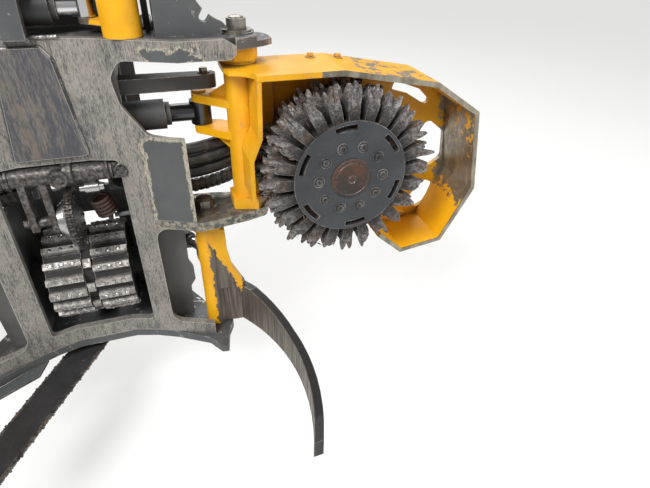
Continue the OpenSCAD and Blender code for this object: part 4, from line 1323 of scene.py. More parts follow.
    def face(self) -> Shape:
        """The face: cells of a polar grid over it, but for six slots, with walls where a cell is missing.

        Returns:
            The perforated disc.
        """
        radii = np.array([self.cap - 6, 76, 98, 118, 137, 144, 151, 156, self.drum + 3])
        slotted = slice(4, 6)
        cells, apart = 180, 360 / self.slots
        angle = np.linspace(0, 360, cells, endpoint=False)
        off = np.abs((angle + 180 / cells - self.slot_middle) % apart - apart / 2)
        kept = np.ones((len(radii) - 1, cells), bool)
        kept[slotted] = off <= apart / 2 - self.slot_half
        return perforated(radii, np.radians(angle), kept, self.width - 15, self.width)

    def drum_shape(self) -> Shape:
        """The drum and the ring behind the spikes.

        Returns:
            Both, with the drum's edges bevelled.
        """
        inner, outer, front = self.drum - 24, self.drum - 8, self.width - 20
        body = lathe([(inner, 15), (outer, 16), (outer, front), (inner, front + 1)], 72)
        return joined([body, lathe(self.REAR_RING, 96, capped=False)])

    def splinters(self, count: int = 420) -> Shape:
        """Thin spindles of wood: each swells from a point to a few millimetres and back along its length.

        Args:
            count: Number of splinters.

        Returns:
            The splinters between the spikes.
        """
        rng = np.random.default_rng(self.wood_seed + self.side.value)
        length = rng.uniform(9, 34, count)
        thick = rng.uniform(0.8, 2.6, count)
        one = lathe(self.SPLINTER, 3)
        local = one.points[None] * np.stack([thick, thick * 0.6, length], axis=-1)[:, None, :]
        turn = rng.uniform(0, 2 * np.pi, count)
        tilt = rng.normal(0, 0.7, (count, 2)) + np.array([0.2, 1.35])
        local = np.einsum("nij,npj->npi", turns_about(tilt[:, 0], 0) @ turns_about(tilt[:, 1], 1), local)
        radius = rng.uniform(self.drum + 4, self.shoulder + 14, count)
        height = rng.uniform(self.width - self.spiked + 6, self.width - 6, count)
        local = local + np.stack([radius, np.zeros(count), height], axis=-1)[:, None, :]
        return copies(np.einsum("nij,npj->npi", turns_about(turn, 2), local), one.faces)

    def hub_bolts(self) -> Shape:
        """Bolts in counterbores round the hub.

        Returns:
            For each bolt a raised lip, and a head with a round socket in it.
        """
        one = joined([lathe(self.BOLT_LIP, 24, capped=False), lathe(self.BOLT, 18)])
        turn = np.radians(np.arange(self.hub_bolt_count) * 360 / self.hub_bolt_count)
        shifts = np.column_stack([ring_outline(self.bolt_circle, self.hub_bolt_count),
                                  np.full(self.hub_bolt_count, self.width)])
        return one.repeated(turns_about(turn, 2), shifts)

    def hub_cap(self) -> Shape:
        """The hub's stepped cap, with a fine groove round its middle."""
        r, w = self.cap, self.width
        return lathe([(r, w - 8), (r, w + 3), (r - 3, w + 5.5), (r - 9, w + 5.8), (r - 10.5, w + 4),
                      (r - 12, w + 6), (30, w + 7.4), (12, w + 7.8), (10.5, w + 6.2), (9, w + 7.8),
                      (0.5, w + 7.9)], 64)

    def build(self) -> None:
        """Makes the roller's pieces; together they stand for its node."""
        spikes = self.piece("spikes", self.blocks(), SPIKES, 20.0)
        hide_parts(f"{self.side.word}_feed_roller")
        self.piece("roller_face", self.face(), ROLLER_FACE)
        self.piece("roller_drum", self.drum_shape(), SPIKES)
        self.piece("splinters", self.splinters(), WOOD)
        self.piece("hub_bolts", self.hub_bolts(), ROLLER_FACE)
        self.piece("hub_cap", self.hub_cap(), HUB_RUST)


@dataclass
class InnerRoller:
    """The roller at the back of the stem's bay: studs on its ribs, and square blocks round its middle.

    Attributes:
        centre: Its axis in the middle of the head.
        radius: Radius over the ribs.
        half: Half of its width.
        ribs: Number of ribs on each half.
        studs: Studs along each rib.
        ring_blocks: Square blocks round the middle.
    """

    centre: Point = (0.0, 110.0, 208.0)
    radius: float = 145.0
    half: float = 118.0
    ribs: int = 18
    studs: int = 3
    ring_blocks: int = 11

    # a stud's turned profile as radius and height, and a block's outline
    STUD: ClassVar[Profile] = ((6.2, -3), (6.2, 0.6), (5.0, 2.2), (2.0, 2.8))
    BLOCK: ClassVar[Profile] = ((-11.5, -14.0), (11.5, -14.0), (11.5, 14.0), (-11.5, 14.0))

    def stud_rows(self) -> Shape:
        """A stud at even steps along every rib; the ribs of the right half stand half a step further round.

        Returns:
            The studs, in head millimetres.
        """
        start, length, lag = 26, self.half - 40, 0.08
        turns, shifts = [], []
        for half, sign in enumerate((-1, 1)):
            angle = np.radians((np.arange(self.ribs) + half / 2 - lag) * 360 / self.ribs)
            turn, out = outward(angle)
            for k in range(self.studs):
                x = (start + length * (k + 0.3) / (self.studs - 0.4)) * sign
                turns.append(turn)
                shifts.append(out * (self.radius - 0.5) + np.array(RIGHTWARDS) * x)
        stud = lathe(self.STUD, 10)
        return stud.repeated(np.concatenate(turns), np.concatenate(shifts)).moved(self.centre)

    def middle(self) -> Shape:
        """The middle ring's blocks: one bevelled prism, stood at equal angles round the axis.

        Returns:
            The blocks, in head millimetres.
        """
        block = prism(np.array(self.BLOCK), self.radius - 36, self.radius - 5, 2.5)
        turns, _ = outward(np.radians((np.arange(self.ring_blocks) + 0.3) * 360 / self.ring_blocks))
        return block.repeated(turns, np.zeros((self.ring_blocks, 3))).moved(self.centre)

    def build(self) -> None:
        """Makes the studs along the ribs and the square blocks of the middle ring."""
        add_piece("inner_roller_studs", self.stud_rows(), BRIGHT_STEEL, "inner_roller")
        add_piece("inner_roller_ring", self.middle(), RIBS, "inner_roller")


@dataclass(frozen=True)
class Bolt:
    """A hexagon head in its place.

    Attributes:
        at: Where it stands, in head millimetres.
        axis: Direction that it points in.
        across: Width across the flats.
        height: Height of the head.
        washer: Radius of its washer, or nought for none.
        spin: Turn of the hexagon, in degrees.
    """

    at: Point
    axis: Point
    across: float
    height: float
    washer: float = 0.0
    spin: float = 0.0

    def shape(self) -> Shape:
        """The head and its washer."""
        return bolt_head(self.across, self.height, self.washer, self.spin).moved(self.at, self.axis)


@dataclass
class MeasuringGear:
    """The measuring wheel's fine teeth, its stepped hub, the arm's boss and nut, and the coil spring.

    Attributes:
        pivot: The measuring arm's axis in the middle of the head.
        drop: Distance from that axis down to the wheel's.
        radius: Radius of the wheel.
        spring_top: Upper end of the spring, on the arm's lever.
        spring_foot: Lower end of the spring, on its pin.
        coil: Radius of the spring's coil, to the middle of its wire.
        wire: Radius of the spring's wire.
        turns: Number of the coil's turns.
        wheel_bolts: Number of bolts on the wheel's face.
        collar_x: Middle of the collar on the arm's tube.
        tube_end: Middle of the ring at either end of the tube.
        nut_x: Where the nut of the wheel's axle stands.
    """

    pivot: Point = (0.0, 12.0, 588.0)
    drop: float = 138.0
    radius: float = 92.0
    spring_top: Point = (74.0, 38.0, 506.0)
    spring_foot: Point = (94.0, 48.0, 422.0)
    coil: float = 26.0
    wire: float = 5.4
    turns: float = 4.6
    wheel_bolts: int = 16
    collar_x: float = 24.0
    tube_end: float = 122.0
    nut_x: float = -106.0

    # turned profiles as radius and height
    HUB: ClassVar[Profile] = ((39, -33), (41, -32), (41, -26), (47, -25), (47, -19), (53, -18), (53, -14),
                              (59, -13), (61, -8))
    BOSS: ClassVar[Profile] = ((25, -16), (25, 5), (23, 8), (16, 8.5), (14, 6), (11, 6), (10, 10), (4, 11))
    PIN: ClassVar[Profile] = ((9, -36), (10, -35), (10, -22), (15, -21), (15, 14), (11, 15), (11, 27),
                              (9.5, 28))
    COLLAR: ClassVar[Profile] = ((34, -12), (36, -10), (36, 10), (34, 12))
    END_RING: ClassVar[Profile] = ((32, -4), (33.5, -2), (33.5, 2), (32, 4))
    SPRING_PIN: ClassVar[Profile] = ((13, -6), (13, 6))

    @property
    def axle(self) -> Point:
        """The wheel's axis in the middle of the head."""
        x, y, z = self.pivot
        return (x, y, z - self.drop)

    def beside(self, x: float, y: float = 0.0, z: float = 0.0) -> Point:
        """The place at an offset from the pivot."""
        return (self.pivot[0] + x, self.pivot[1] + y, self.pivot[2] + z)

    def ring(self, x0: float, x1: float, root: float, tip: float, teeth: int) -> Shape:
        """A toothed ring between two planes across X, with a land on each tooth.

        Args:
            x0: Near plane.
            x1: Far plane.
            root: Radius between the teeth.
            tip: Radius over the teeth.
            teeth: Number of teeth.

        Returns:
            The ring, a closed disc, about the origin.
        """
        radius = np.tile([root, tip, tip, root], teeth)
        outline = radius[:, None] * ring_outline(1.0, teeth * 4)
        return prism(outline, x0, x1).moved(axis=RIGHTWARDS)

    def wheel(self) -> Shape:
        """The wheel's fine parts, about its axle.

        Returns:
            Two rings of teeth, and a ring of small bolts on its right face.
        """
        turn = np.radians(np.arange(self.wheel_bolts) * 360.0 / self.wheel_bolts)
        bolt = bolt_head(8, 3.5).moved((self.radius - 22, 0, 16))
        bolts = bolt.repeated(turns_about(turn, 2), np.zeros((self.wheel_bolts, 3)))
        return joined([self.ring(4.5, 9.5, self.radius - 6, self.radius + 0.6, 64),
                       self.ring(-4, 3.4, self.radius - 15, self.radius - 9, 52),
                       bolts.moved(axis=RIGHTWARDS)]).moved(self.axle)

    def hub(self) -> Shape:
        """The stepped hub on the wheel's left: a turned profile about X, wider at every step."""
        return lathe(self.HUB, 56).moved(self.axle, RIGHTWARDS)

    def arm_fittings(self) -> Shape:
        """The fittings of the measuring arm.

        Returns:
            The collar and end rings on its tube, the nut at the wheel's axle, and the boss.
        """
        end = lathe(self.END_RING, 40)
        parts = [lathe(self.COLLAR, 40).moved(self.beside(self.collar_x), RIGHTWARDS)]
        parts += [end.moved(self.beside(x), RIGHTWARDS) for x in (self.tube_end, -self.tube_end)]
        parts.append(bolt_head(24, 14, 18).moved(self.beside(self.nut_x, 0, -self.drop), LEFTWARDS))
        return joined(parts + [self.boss()])

    def boss(self) -> Shape:
        """The round boss on the tube's front: a turned profile about -Y, with a hollow for its plug."""
        return lathe(self.BOSS, 36).moved(self.beside(0, -31.5, -1), FORWARDS)

    def cross_pin(self) -> Shape:
        """The bright stepped pin across the lever's foot: a turned profile about X."""
        return lathe(self.PIN, 28).moved(self.beside(76, -10, -45), RIGHTWARDS)

    def block_bolts(self) -> Shape:
        """The bolts of the arm's two bearing blocks, and the spring's pin.

        Returns:
            The bolts and the pin, all on the head.
        """
        parts = []
        for sign in (-1, 1):
            parts += [Bolt(self.beside(sign * 136, 12, -4), (-sign, 0, 0), 19, 9, 15, 12).shape(),
                      Bolt(self.beside(sign * 160, -33, 6), FORWARDS, 26, 11, 20, 8).shape(),
                      Bolt(self.beside(sign * 146, 11, 26), UP, 17, 8, 13).shape()]
        parts.append(lathe(self.SPRING_PIN, 20).moved(self.spring_foot, RIGHTWARDS))
        return joined(parts)

    def spring(self) -> Shape:
        """A helix: P(t) = axis(t) + r (cos 2 pi n t side + sin 2 pi n t over).

        Returns:
            The wire with a straight hook at each end.
        """
        hook, askew = 16, (0.31, 0.93, 0.17)
        top, foot = np.asarray(self.spring_top), np.asarray(self.spring_foot)
        length = np.linalg.norm(foot - top)
        along = (foot - top) / length
        side = np.cross(along, BACKWARDS)
        side /= np.linalg.norm(side)
        over = np.cross(along, side)
        t = np.linspace(0, 1, 220)[:, None]
        angle = 2 * np.pi * self.turns * t
        middle = top + along * (hook + t * (length - 2 * hook))
        coil = middle + self.coil * (np.cos(angle) * side + np.sin(angle) * over)
        ends = [[top - along * 2, top + along * 4], [foot - along * 4, foot + along * 2]]
        path = np.concatenate([ends[0], coil, ends[1]])
        return tube(path, self.wire, 9, askew)

    def build(self) -> None:
        """Makes the gear's pieces; the spring is left on no body."""
        add_piece("measuring_wheel_teeth", self.wheel(), GEAR_STEEL, "measuring_wheel")
        add_piece("measuring_wheel_hub", self.hub(), BRIGHT_STEEL, "measuring_wheel")
        add_piece("measuring_arm_fittings", self.arm_fittings(), GEAR_STEEL, "measuring_arm")
        add_piece("measuring_cross_pin", self.cross_pin(), BRIGHT_STEEL, "measuring_arm")
        spring = add_piece("measuring_spring_coil", self.spring(), SPRING, None, ROUND_ANGLE)
        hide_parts("measuring_spring")
        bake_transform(spring)
        add_piece("measuring_block_bolts", self.block_bolts(), GEAR_STEEL, "head")


@dataclass
class HoseRun:
    """The four hoses from the manifold in the frame to a feed motor, with their fittings.

    Attributes:
        side: Which arm they feed.
        radius: Radius of a hose.
        lowest: Radius of the lowest hose, which wears a spiral guard.
        pitch: Pitch of that guard.
        steps: Points worked out on each stretch of a route.
    """

    side: Side
    radius: float = 17.4
    lowest: float = 18.6
    pitch: float = 17.0
    steps: int = 7

    # the guard strip's section, as height over the hose and place along it, and the hoses' listed routes
    STRIP: ClassVar[Profile] = ((-0.8, -6.6), (2.4, -5.6), (2.4, 5.6), (-0.8, 6.6))
    ROUTES: ClassVar[Sequence[Sequence[Point]]] = (
        ((130, 150.5, 608), (130, 134, 608), (150, 116, 607), (190, 104, 604), (240, 86, 599), (290, 72, 596),
         (342, 66, 596), (400, 70, 602), (450, 80, 610), (500, 106, 617), (570, 156, 624), (640, 196, 628),
         (690, 208, 628), (716, 190, 628), (716, 160.5, 628)),
        ((130, 150.5, 570), (130, 134, 570), (150, 116, 569), (190, 102, 567), (240, 84, 563), (290, 70, 560),
         (342, 64, 559), (400, 68, 565), (450, 78, 573), (500, 106, 580), (570, 162, 588), (640, 222, 598),
         (700, 250, 610), (752, 240, 622), (776, 204, 628), (776, 160.5, 628)),
        ((130, 150.5, 532), (130, 134, 532), (150, 116, 531), (190, 102, 530), (240, 84, 526), (290, 70, 523),
         (342, 64, 522), (400, 68, 528), (450, 78, 536), (500, 104, 542), (570, 152, 548), (640, 192, 552),
         (690, 206, 552), (716, 188, 552), (716, 160.5, 552)),
        ((130, 150.5, 490), (130, 134, 490), (150, 116, 489), (190, 104, 487), (240, 86, 482), (290, 72, 479),
         (342, 66, 478), (400, 70, 483), (450, 80, 490), (500, 108, 496), (570, 166, 500), (640, 224, 508),
         (700, 250, 522), (752, 238, 540), (776, 202, 552), (776, 160.5, 552)))

    def fitting(self) -> Shape:
        """A hose end along +Z from a port at Z = 0.

        Returns:
            A collar, a hexagon, and a crimped sleeve with grooves.
        """
        collar = lathe([(19.0, 0.2), (19.0, 5)], 24)
        hexagon = prism(ring_outline(22, 6), 5, 17, 1.2)
        sleeve = [(16, 16), (20.3, 17.5)]
        for low in (20, 25, 30):
            sleeve += [(20.3, low), (19.3, low + 1), (19.3, low + 3), (20.3, low + 4)]
        sleeve += [(20.3, 36), (18.6, 38)]
        return joined([collar, hexagon, lathe(sleeve, 24)])

    def spiral(self, path: Array) -> Shape:
        """The guard's strip: a flat wire wound round the lowest hose at a steady pitch.

        Args:
            path: Middle line of the hose.

        Returns:
            The strip.
        """
        lengths = np.concatenate([[0], np.cumsum(np.linalg.norm(np.diff(path, axis=0), axis=1))])
        free_start, free_end = 40, 45
        s = np.arange(free_start, lengths[-1] - free_end, 2.0)
        middle = np.stack([np.interp(s, lengths, path[:, k]) for k in range(3)], axis=-1)
        along = np.gradient(middle, axis=0)
        along /= np.linalg.norm(along, axis=1, keepdims=True)
        side = np.cross(along, UP)
        side /= np.linalg.norm(side, axis=1, keepdims=True)
        over = np.cross(side, along)
        turn = (s * 2 * np.pi / self.pitch)[:, None]
        out = np.cos(turn) * side + np.sin(turn) * over
        rings = np.stack([middle + out * (self.lowest + h) + along * w for h, w in self.STRIP], axis=1)
        return loft(rings)

    def build(self) -> None:
        """Makes the hoses, which curve from the head to the arm on no body, and the fittings at both ends."""
        word, arm = self.side.word, f"{self.side.word}_arm"
        paths = [smooth_path(route, self.steps) for route in self.ROUTES]
        radii = [self.radius] * 3 + [self.lowest]
        hoses = joined([tube(path, radius, 16) for path, radius in zip(paths, radii)]).mirrored(self.side)
        piece = add_piece(f"{word}_hose_set", hoses, RUBBER, None)
        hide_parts(f"{self.side.word}_hoses")
        guard = self.spiral(paths[3]).mirrored(self.side)
        strip = add_piece(f"{word}_hose_guard", guard, DUSTY_RUBBER, None)
        for bent in (piece, strip):
            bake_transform(bent)
        one = self.fitting()
        short = one.warped(lambda p: p * np.array([1, 1, 0.42]))
        ends = list(enumerate(self.ROUTES))
        at_motor = joined([one.moved(route[-1], BACKWARDS, 17 * k) for k, route in ends])
        at_frame = joined([short.moved(route[0], FORWARDS, 11 * k) for k, route in ends])
        add_piece(f"{word}_motor_fittings", at_motor.mirrored(self.side), FASTENER, arm)
        add_piece(f"{word}_frame_fittings", at_frame.mirrored(self.side), FASTENER, "head")


class Fasteners:
    """Bolts, washers, nuts and the heads of pins, by their places in head millimetres.

    Attributes:
        COVER: X and Z of the valve cover's bolts.
        COVER_Y: The plane that they stand on.
        BOX: The saw box's bolts.
        HINGES: Where the washers of the right hinge pins lie.
        KNIFE_HINGE: Where the nut of the right upper knife's pin stands.
        STOP: The bolt on the stop bar's right end.
        MANIFOLD: The bolts on the right hoses' manifold.
        GUARD: The right guard's bolts, and the turn of each head.
        MOTOR: Middle of the right feed motor's ring of bolts.
        MOTOR_CIRCLE: Radius of that ring.
        MOTOR_BOLTS: Places on it.
        TILT_PIN: Where the right tilt pin's head starts.
    """

    COVER: ClassVar[Profile] = ((-222, 962), (-222, 1166), (-120, 962), (0, 962), (0, 1166), (120, 962),
                                (222, 962), (222, 1166))
    COVER_Y: ClassVar[float] = 150
    BOX: ClassVar[Sequence[Point]] = ((-230, 280, -70), (-80, 280, -70), (80, 280, -70), (230, 280, -70))
    HINGES: ClassVar[Sequence[Point]] = ((365, -20, 440.3), (500, -15, 930.3))
    KNIFE_HINGE: ClassVar[Point] = (230, -10, 1304.5)
    STOP: ClassVar[Point] = (412, 50, 818)
    MANIFOLD: ClassVar[Sequence[Point]] = ((130, 200, 632), (130, 240, 632))
    GUARD: ClassVar[Sequence[tuple[Point, float]]] = (((694, -20, 859), 194), ((772, -20, 853.4), 272))
    MOTOR: ClassVar[Point] = (746, 67, 590)
    MOTOR_CIRCLE: ClassVar[float] = 75
    MOTOR_BOLTS: ClassVar[int] = 12
    TILT_PIN: ClassVar[Point] = (172, 330, 820)
    # turned profiles as radius and height
    HINGE_WASHER: ClassVar[Profile] = ((44, 0), (44, 2.4), (43, 3))
    HINGE_CAP: ClassVar[Profile] = ((19, 32), (18, 36), (14, 38), (5, 38.6))
    KNIFE_NUT: ClassVar[Profile] = ((40, 0), (40, 3), (34, 8), (33, 26), (22, 30), (8, 31))
    TILT_HEAD: ClassVar[Profile] = ((46, 0), (46, 8), (42, 12), (10, 12.5))

    def build(self) -> None:
        """Makes one piece for each body that carries fasteners."""
        self.head()
        for side in Side:
            self.arm(side)
        self.tilt()

    def head(self) -> None:
        """Bolts of the valve cover, saw box, stop bar and manifolds, and the hinge pins' washers and nuts."""
        bolts = [Bolt((x, self.COVER_Y, z), FORWARDS, 16, 8, 13, x) for x, z in self.COVER]
        bolts += [Bolt(place, BACKWARDS, 18, 9, 14, place[0]) for place in self.BOX]
        parts = [bolt.shape() for bolt in bolts]
        for side in Side:
            for pin in self.HINGES:
                parts.append(lathe(self.HINGE_WASHER, 36).moved(side.place(pin)))
                parts.append(lathe(self.HINGE_CAP, 28).moved(side.place(pin)))
            parts.append(lathe(self.KNIFE_NUT, 36).moved(side.place(self.KNIFE_HINGE)))
            parts.append(Bolt(side.place(self.STOP), UP, 20, 10, 16, 9).shape())
            parts += [Bolt(side.place(at), UP, 16, 8, 0, at[1]).shape() for at in self.MANIFOLD]
        add_piece("head_bolts", joined(parts), FASTENER, "head")

    def arm(self, side: Side) -> None:
        """Bolts on the guard's flange, and those of the motor but for the one behind the arm.

        Args:
            side: Which arm carries them.
        """
        bolts = [Bolt(place, UP, 17, 8, 14, spin) for place, spin in self.GUARD]
        x, y, z = self.MOTOR
        for k in range(self.MOTOR_BOLTS):
            turn = k * 360 / self.MOTOR_BOLTS
            across = self.MOTOR_CIRCLE * math.cos(math.radians(turn))
            up = self.MOTOR_CIRCLE * math.sin(math.radians(turn))
            if turn != 180:
                bolts.append(Bolt((x + across, y, z + up), BACKWARDS, 13, 7, 0, turn))
        heads = joined([bolt.shape() for bolt in bolts]).mirrored(side)
        add_piece(f"{side.word}_guard_bolts", heads, PAINTED_BOLT, f"{side.word}_arm")

    def tilt(self) -> None:
        """The heads of both tilt pins."""
        head = lathe(self.TILT_HEAD, 40)
        heads = [head.moved(side.place(self.TILT_PIN), side.place(RIGHTWARDS))
                 for side in (Side.LEFT, Side.RIGHT)]
        add_piece("tilt_pin_heads", joined(heads), FASTENER, "tilt_frame")


@dataclass(frozen=True)
class Seam:
    """A straight weld on the right half of the head.

    Attributes:
        start: One end, in head millimetres.
        end: The other end.
        radius: Radius of the bead.
        up: A direction that the seam never takes.
    """

    start: Point
    end: Point
    radius: float = 5.0
    up: Point = UP

    def bead(self, side: Side = Side.RIGHT) -> Shape:
        """The bead on one side of the head."""
        return weld([side.place(self.start), side.place(self.end)], self.radius, self.up)


class Welds:
    """Weld beads along the seams that show.

    Attributes:
        FRAME: Seams of the frame, on both sides.
        ARM: Seams of an arm, drawn for the right one.
        WEAR_PLATE: X and Z of the wear plate's corners, once round.
    """

    FRAME: ClassVar[tuple[Seam, ...]] = (
        Seam((20, -1, 933), (86, -1, 933), 4.5),
        Seam((195.5, 40, 441.5), (195.5, 96, 441.5)),
        Seam((195.5, 40, 410.5), (195.5, 96, 410.5)),
        Seam((320, -29, 931), (452, -29, 931), 4.8),
        Seam((320.5, -28, 931), (320.5, 138, 931)),
        Seam((302, -28, 931), (302, 138, 931)),
        Seam((26, -25, 931), (26, 5, 931)),
        Seam((279, 58, 931), (279, 242, 931)),
        Seam((297, 58, 931), (297, 242, 931)),
        Seam((195.5, 62, 2), (195.5, 262, 2)),
        Seam((177, 255, 2), (177, 255, 400), 4.5, BACKWARDS),
        Seam((107, 281, 722), (107, 281, 906), 5.0, BACKWARDS),
        Seam((139, 281, 722), (139, 281, 906), 5.0, BACKWARDS))
    ARM: ClassVar[tuple[Seam, ...]] = (
        Seam((543, -10, 562), (543, -10, 812), 4.2, BACKWARDS),
        Seam((526.5, 4, 700), (526.5, 4, 842), 4.0, BACKWARDS))
    WEAR_PLATE: ClassVar[Profile] = ((-85, 641), (85, 641), (61, 884), (42, 911), (-42, 911), (-61, 884),
                                     (-85, 641))

    def build(self) -> None:
        """Makes the beads of the head and of both arms."""
        beads = [seam.bead(side) for side in (Side.LEFT, Side.RIGHT) for seam in self.FRAME]
        beads.append(weld([(x, -1.5, z) for x, z in self.WEAR_PLATE], 4.6, BACKWARDS))
        add_piece("frame_welds", joined(beads), WELD, "head", ROUND_ANGLE)
        for side in Side:
            arm = f"{side.word}_arm"
            shape = joined([seam.bead() for seam in self.ARM]).mirrored(side)
            add_piece(f"{arm}_welds", shape, YELLOW_WELD, arm, ROUND_ANGLE)


@dataclass
class SawChain:
    """Links and cutters round the saw bar, each with the driver that runs in its groove.

    Attributes:
        pivot: The bar's axis in head millimetres.
        turn: Direction of the bar at rest, in degrees from +X.
        length: Length of the bar.
        width: Width of the bar.
        gap: Distance from the bar's edge to the links' middle line.
        pitch: Distance from link to link.
        cutters: One link in so many is a cutter.
        link_half: Half of a link's thickness.
        cutter_half: Half of a cutter's thickness.
        bevel: Bevel on both.
    """

    pivot: Point = (0.0, 171.0, -62.0)
    turn: float = -119.0
    length: float = 700.0
    width: float = 96.0
    gap: float = 1.5
    pitch: float = 15.0
    cutters: int = 3
    link_half: float = 3.4
    cutter_half: float = 4.6
    bevel: float = 0.4

    # outlines in the bar's plane, along the run and away from the bar
    LINK: ClassVar[Profile] = ((-6.6, -6.5), (6.6, -6.5), (7.4, -3), (7.4, 1), (4, 3.4), (-4, 3.4),
                               (-7.4, 1), (-7.4, -3))
    CUTTER: ClassVar[Profile] = ((-6.5, -6.5), (6.5, -6.5), (7.4, 0), (7, 3.5), (3, 1.5), (1, -0.5),
                                 (-1, 6.0), (-7, 5.2))

    def loop(self) -> tuple[Array, Array]:
        """Places and directions round the bar: two straight runs and two half circles.

        Returns:
            The links' middles and their angles in radians, in the bar's own plane.
        """
        half = self.width / 2 + self.gap
        straight = self.length - self.width / 2
        bend = np.pi * half
        s = np.arange(0, 2 * straight + 2 * bend - self.pitch / 2, self.pitch)
        runs = [s < straight, s < straight + bend, s < 2 * straight + bend]
        angle = np.select(runs, [0 * s, (s - straight) / half, 0 * s + np.pi],
                          np.pi + (s - 2 * straight - bend) / half)
        x = np.select(runs, [s, straight + half * np.sin(angle), 2 * straight + bend - s],
                      half * np.sin(angle))
        y = -half * np.cos(angle)
        return np.stack([x, y], axis=-1), angle

    def build(self) -> None:
        """Makes the chain as one piece on the saw bar's body."""
        places, angle = self.loop()
        link = prism(np.array(self.LINK), -self.link_half, self.link_half, self.bevel)
        cutter = prism(np.array(self.CUTTER), -self.cutter_half, self.cutter_half, self.bevel)
        link, cutter = link.reflected((1, -1, 1)), cutter.reflected((1, -1, 1))
        turns = turns_about(angle, 2)
        shifts = np.column_stack([places, np.zeros(len(places))])
        plain = np.arange(len(places)) % self.cutters > 0
        links = link.repeated(turns[plain], shifts[plain])
        chain = joined([links, cutter.repeated(turns[~plain], shifts[~plain])])
        add_piece("saw_chain", chain.moved(self.pivot, UP, self.turn), CHAIN, "saw_bar")


@dataclass(frozen=True)
class Lamp:
    """A square area lamp that points at a place, in the row frame.

    Attributes:
        name: The lamp's name.
        place: Where it stands.
        aim: What it points at.
        size: Its width in metres.
        power: Its power in watts.
    """

    name: str
    place: Point
    aim: Point
    size: float
    power: float

    def build(self) -> None:
        """Makes the lamp."""
        data = bpy.data.lights.new(self.name, "AREA")
        data.size = self.size
        data.energy = self.power
        lamp = bpy.data.objects.new(self.name, data)
        away = np.asarray(self.place) - np.asarray(self.aim)
        away /= np.linalg.norm(away)
        side = np.cross(UP, away)
        side /= np.linalg.norm(side)
        turn = Matrix(np.column_stack([side, np.cross(away, side), away]).tolist()).to_4x4()
        lamp.matrix_world = Matrix.Translation(self.place) @ turn
        bpy.context.scene.collection.objects.link(lamp)


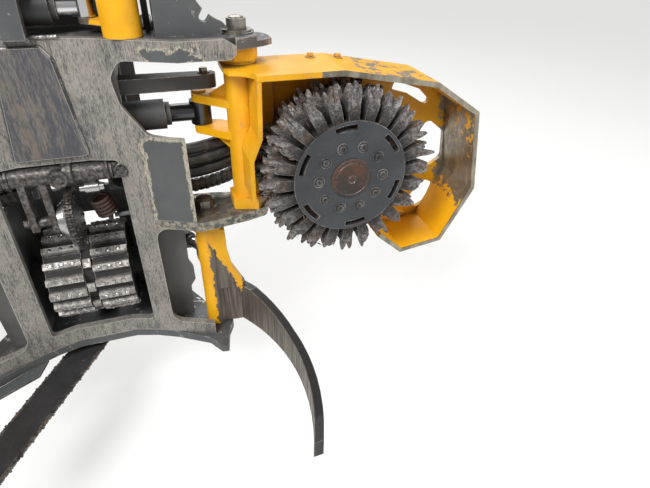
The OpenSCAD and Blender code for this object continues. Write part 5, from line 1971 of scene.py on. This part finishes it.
@dataclass
class Studio:
    """The camera at the photograph's angle, the pale floor, the lamps and the world.

    Attributes:
        eye: Camera's place in the row frame.
        heading: Camera's turn from +Y towards +X, in degrees.
        dip: How far the camera looks down, in degrees.
        roll: Camera's roll, in degrees.
        lens: Focal length for a 36 mm sensor.
        floor: Height of the floor in the row frame.
        floor_glow: The floor's own light, to the camera and in reflections.
        floor_shade: The floor's colour to light that it scatters.
        floor_seen: The floor's colour to the camera and in reflections.
        sky_light: Strength of the world's light on the model.
        sky_seen: Strength of the world to the camera.
    """

    eye: Point = (0.28215, -1.66855, -0.3125)
    heading: float = 19.6
    dip: float = 34.3
    roll: float = 1.6
    lens: float = 27.03
    floor: float = -1.9
    floor_glow: float = 0.52
    floor_shade: Colour = (0.42, 0.42, 0.415)
    floor_seen: Colour = (0.48, 0.48, 0.475)
    sky_light: float = 0.42
    sky_seen: float = 0.92

    LAMPS: ClassVar[tuple[Lamp, ...]] = (
        Lamp("key_lamp", (-2.4, -3.4, 3.2), (0.3, 0, -0.8), 2.2, 330.0),
        Lamp("fill_lamp", (3.6, -2.2, 1.0), (0.3, 0, -0.8), 2.6, 70.0),
        Lamp("back_lamp", (0.8, 3.6, 2.6), (0.2, 0, -0.7), 2.6, 110.0))

    def camera(self) -> None:
        """Builds the camera from its heading, dip and roll."""
        y, p, r = (math.radians(v) for v in (self.heading, self.dip, self.roll))
        ahead = np.array([math.sin(y) * math.cos(p), math.cos(y) * math.cos(p), -math.sin(p)])
        right = np.array([math.cos(y), -math.sin(y), 0.0])
        up = np.cross(right, ahead)
        across = right * math.cos(r) + up * math.sin(r)
        over = up * math.cos(r) - right * math.sin(r)
        data = bpy.data.cameras.new("camera")
        data.lens = self.lens
        data.sensor_width = 36.0
        data.clip_end = 200.0
        camera = bpy.data.objects.new("camera", data)
        turn = Matrix(np.column_stack([across, over, -ahead]).tolist()).to_4x4()
        camera.matrix_world = Matrix.Translation(self.eye) @ turn
        bpy.context.scene.collection.objects.link(camera)
        bpy.context.scene.camera = camera

    def ground(self) -> None:
        """Lays a wide pale floor that shows nearly white to the camera and keeps the shadow."""
        tree = Graph("floor")
        path = tree.node("ShaderNodeLightPath").outputs
        bent = tree.math("MAXIMUM", path["Is Glossy Ray"], path["Is Transmission Ray"])
        seen = tree.math("MAXIMUM", path["Is Camera Ray"], bent)
        colour = tree.mix(seen, self.floor_shade, self.floor_seen)
        glow = tree.times(seen, self.floor_glow)
        inputs: Inputs = {"Base Color": colour, "Roughness": 0.9, "Emission Color": (1.0, 1.0, 0.99),
                          "Emission Strength": glow}
        main = tree.node("ShaderNodeBsdfPrincipled", inputs)
        tree.node("ShaderNodeOutputMaterial", {"Surface": main.outputs[0]})
        mesh = bpy.data.meshes.new("floor")
        wide = 30.0
        around = [(-wide, -wide, 0), (wide, -wide, 0), (wide, wide, 0), (-wide, wide, 0)]
        mesh.from_pydata(around, [], [(0, 1, 2, 3)])
        mesh.materials.append(tree.material)
        floor = bpy.data.objects.new("floor", mesh)
        floor.location = (0, 0, self.floor)
        bpy.context.scene.collection.objects.link(floor)

    def world(self) -> None:
        """Lights the scene evenly from all round, and shows nearly white to the camera."""
        world = bpy.data.worlds.new("studio")
        world.use_nodes = True
        tree = world.node_tree
        tree.nodes.clear()
        path = tree.nodes.new("ShaderNodeLightPath")
        most = tree.nodes.new("ShaderNodeMath")
        most.operation = "MAXIMUM"
        tree.links.new(path.outputs["Is Camera Ray"], most.inputs[0])
        tree.links.new(path.outputs["Is Transmission Ray"], most.inputs[1])
        strength = tree.nodes.new("ShaderNodeMapRange")
        tree.links.new(most.outputs[0], strength.inputs["Value"])
        strength.inputs["To Min"].default_value = self.sky_light
        strength.inputs["To Max"].default_value = self.sky_seen
        back = tree.nodes.new("ShaderNodeBackground")
        tree.links.new(strength.outputs[0], back.inputs["Strength"])
        back.inputs["Color"].default_value = (1, 1, 1, 1)
        out = tree.nodes.new("ShaderNodeOutputWorld")
        tree.links.new(back.outputs[0], out.inputs["Surface"])
        bpy.context.scene.world = world

    def build(self) -> None:
        """Sets the stage."""
        self.camera()
        self.ground()
        self.world()
        for lamp in self.LAMPS:
            lamp.build()
        bpy.context.scene.view_settings.view_transform = "Standard"


def dress(nodes: dict[str, bpy.types.Object]) -> None:
    """Gives every CAD node that shows its finish, through its object's own material slots.

    Args:
        nodes: The frame's nodes by name.
    """
    for finish, names in NODE_FINISHES.items():
        for name in names:
            node = nodes[name]
            for spot in node.material_slots:
                spot.link = "OBJECT"
                spot.material = finish.material()


def corners(low: Sequence[float], high: Sequence[float]) -> list[list[float]]:
    """Two corners as plain lists, in metres to a hundredth of a millimetre."""
    return [[round(float(v), 5) for v in low], [round(float(v), 5) for v in high]]


def main() -> None:
    """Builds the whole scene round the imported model."""
    logging.basicConfig(level=logging.INFO, format="%(levelname)s %(message)s")
    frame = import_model()
    Studio().build()
    dress(frame["nodes"])
    for side in Side:
        FeedRoller(side).build()
        HoseRun(side).build()
    InnerRoller().build()
    MeasuringGear().build()
    Fasteners().build()
    Welds().build()
    SawChain().build()
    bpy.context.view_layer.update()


if __name__ == "__main__":
    main()
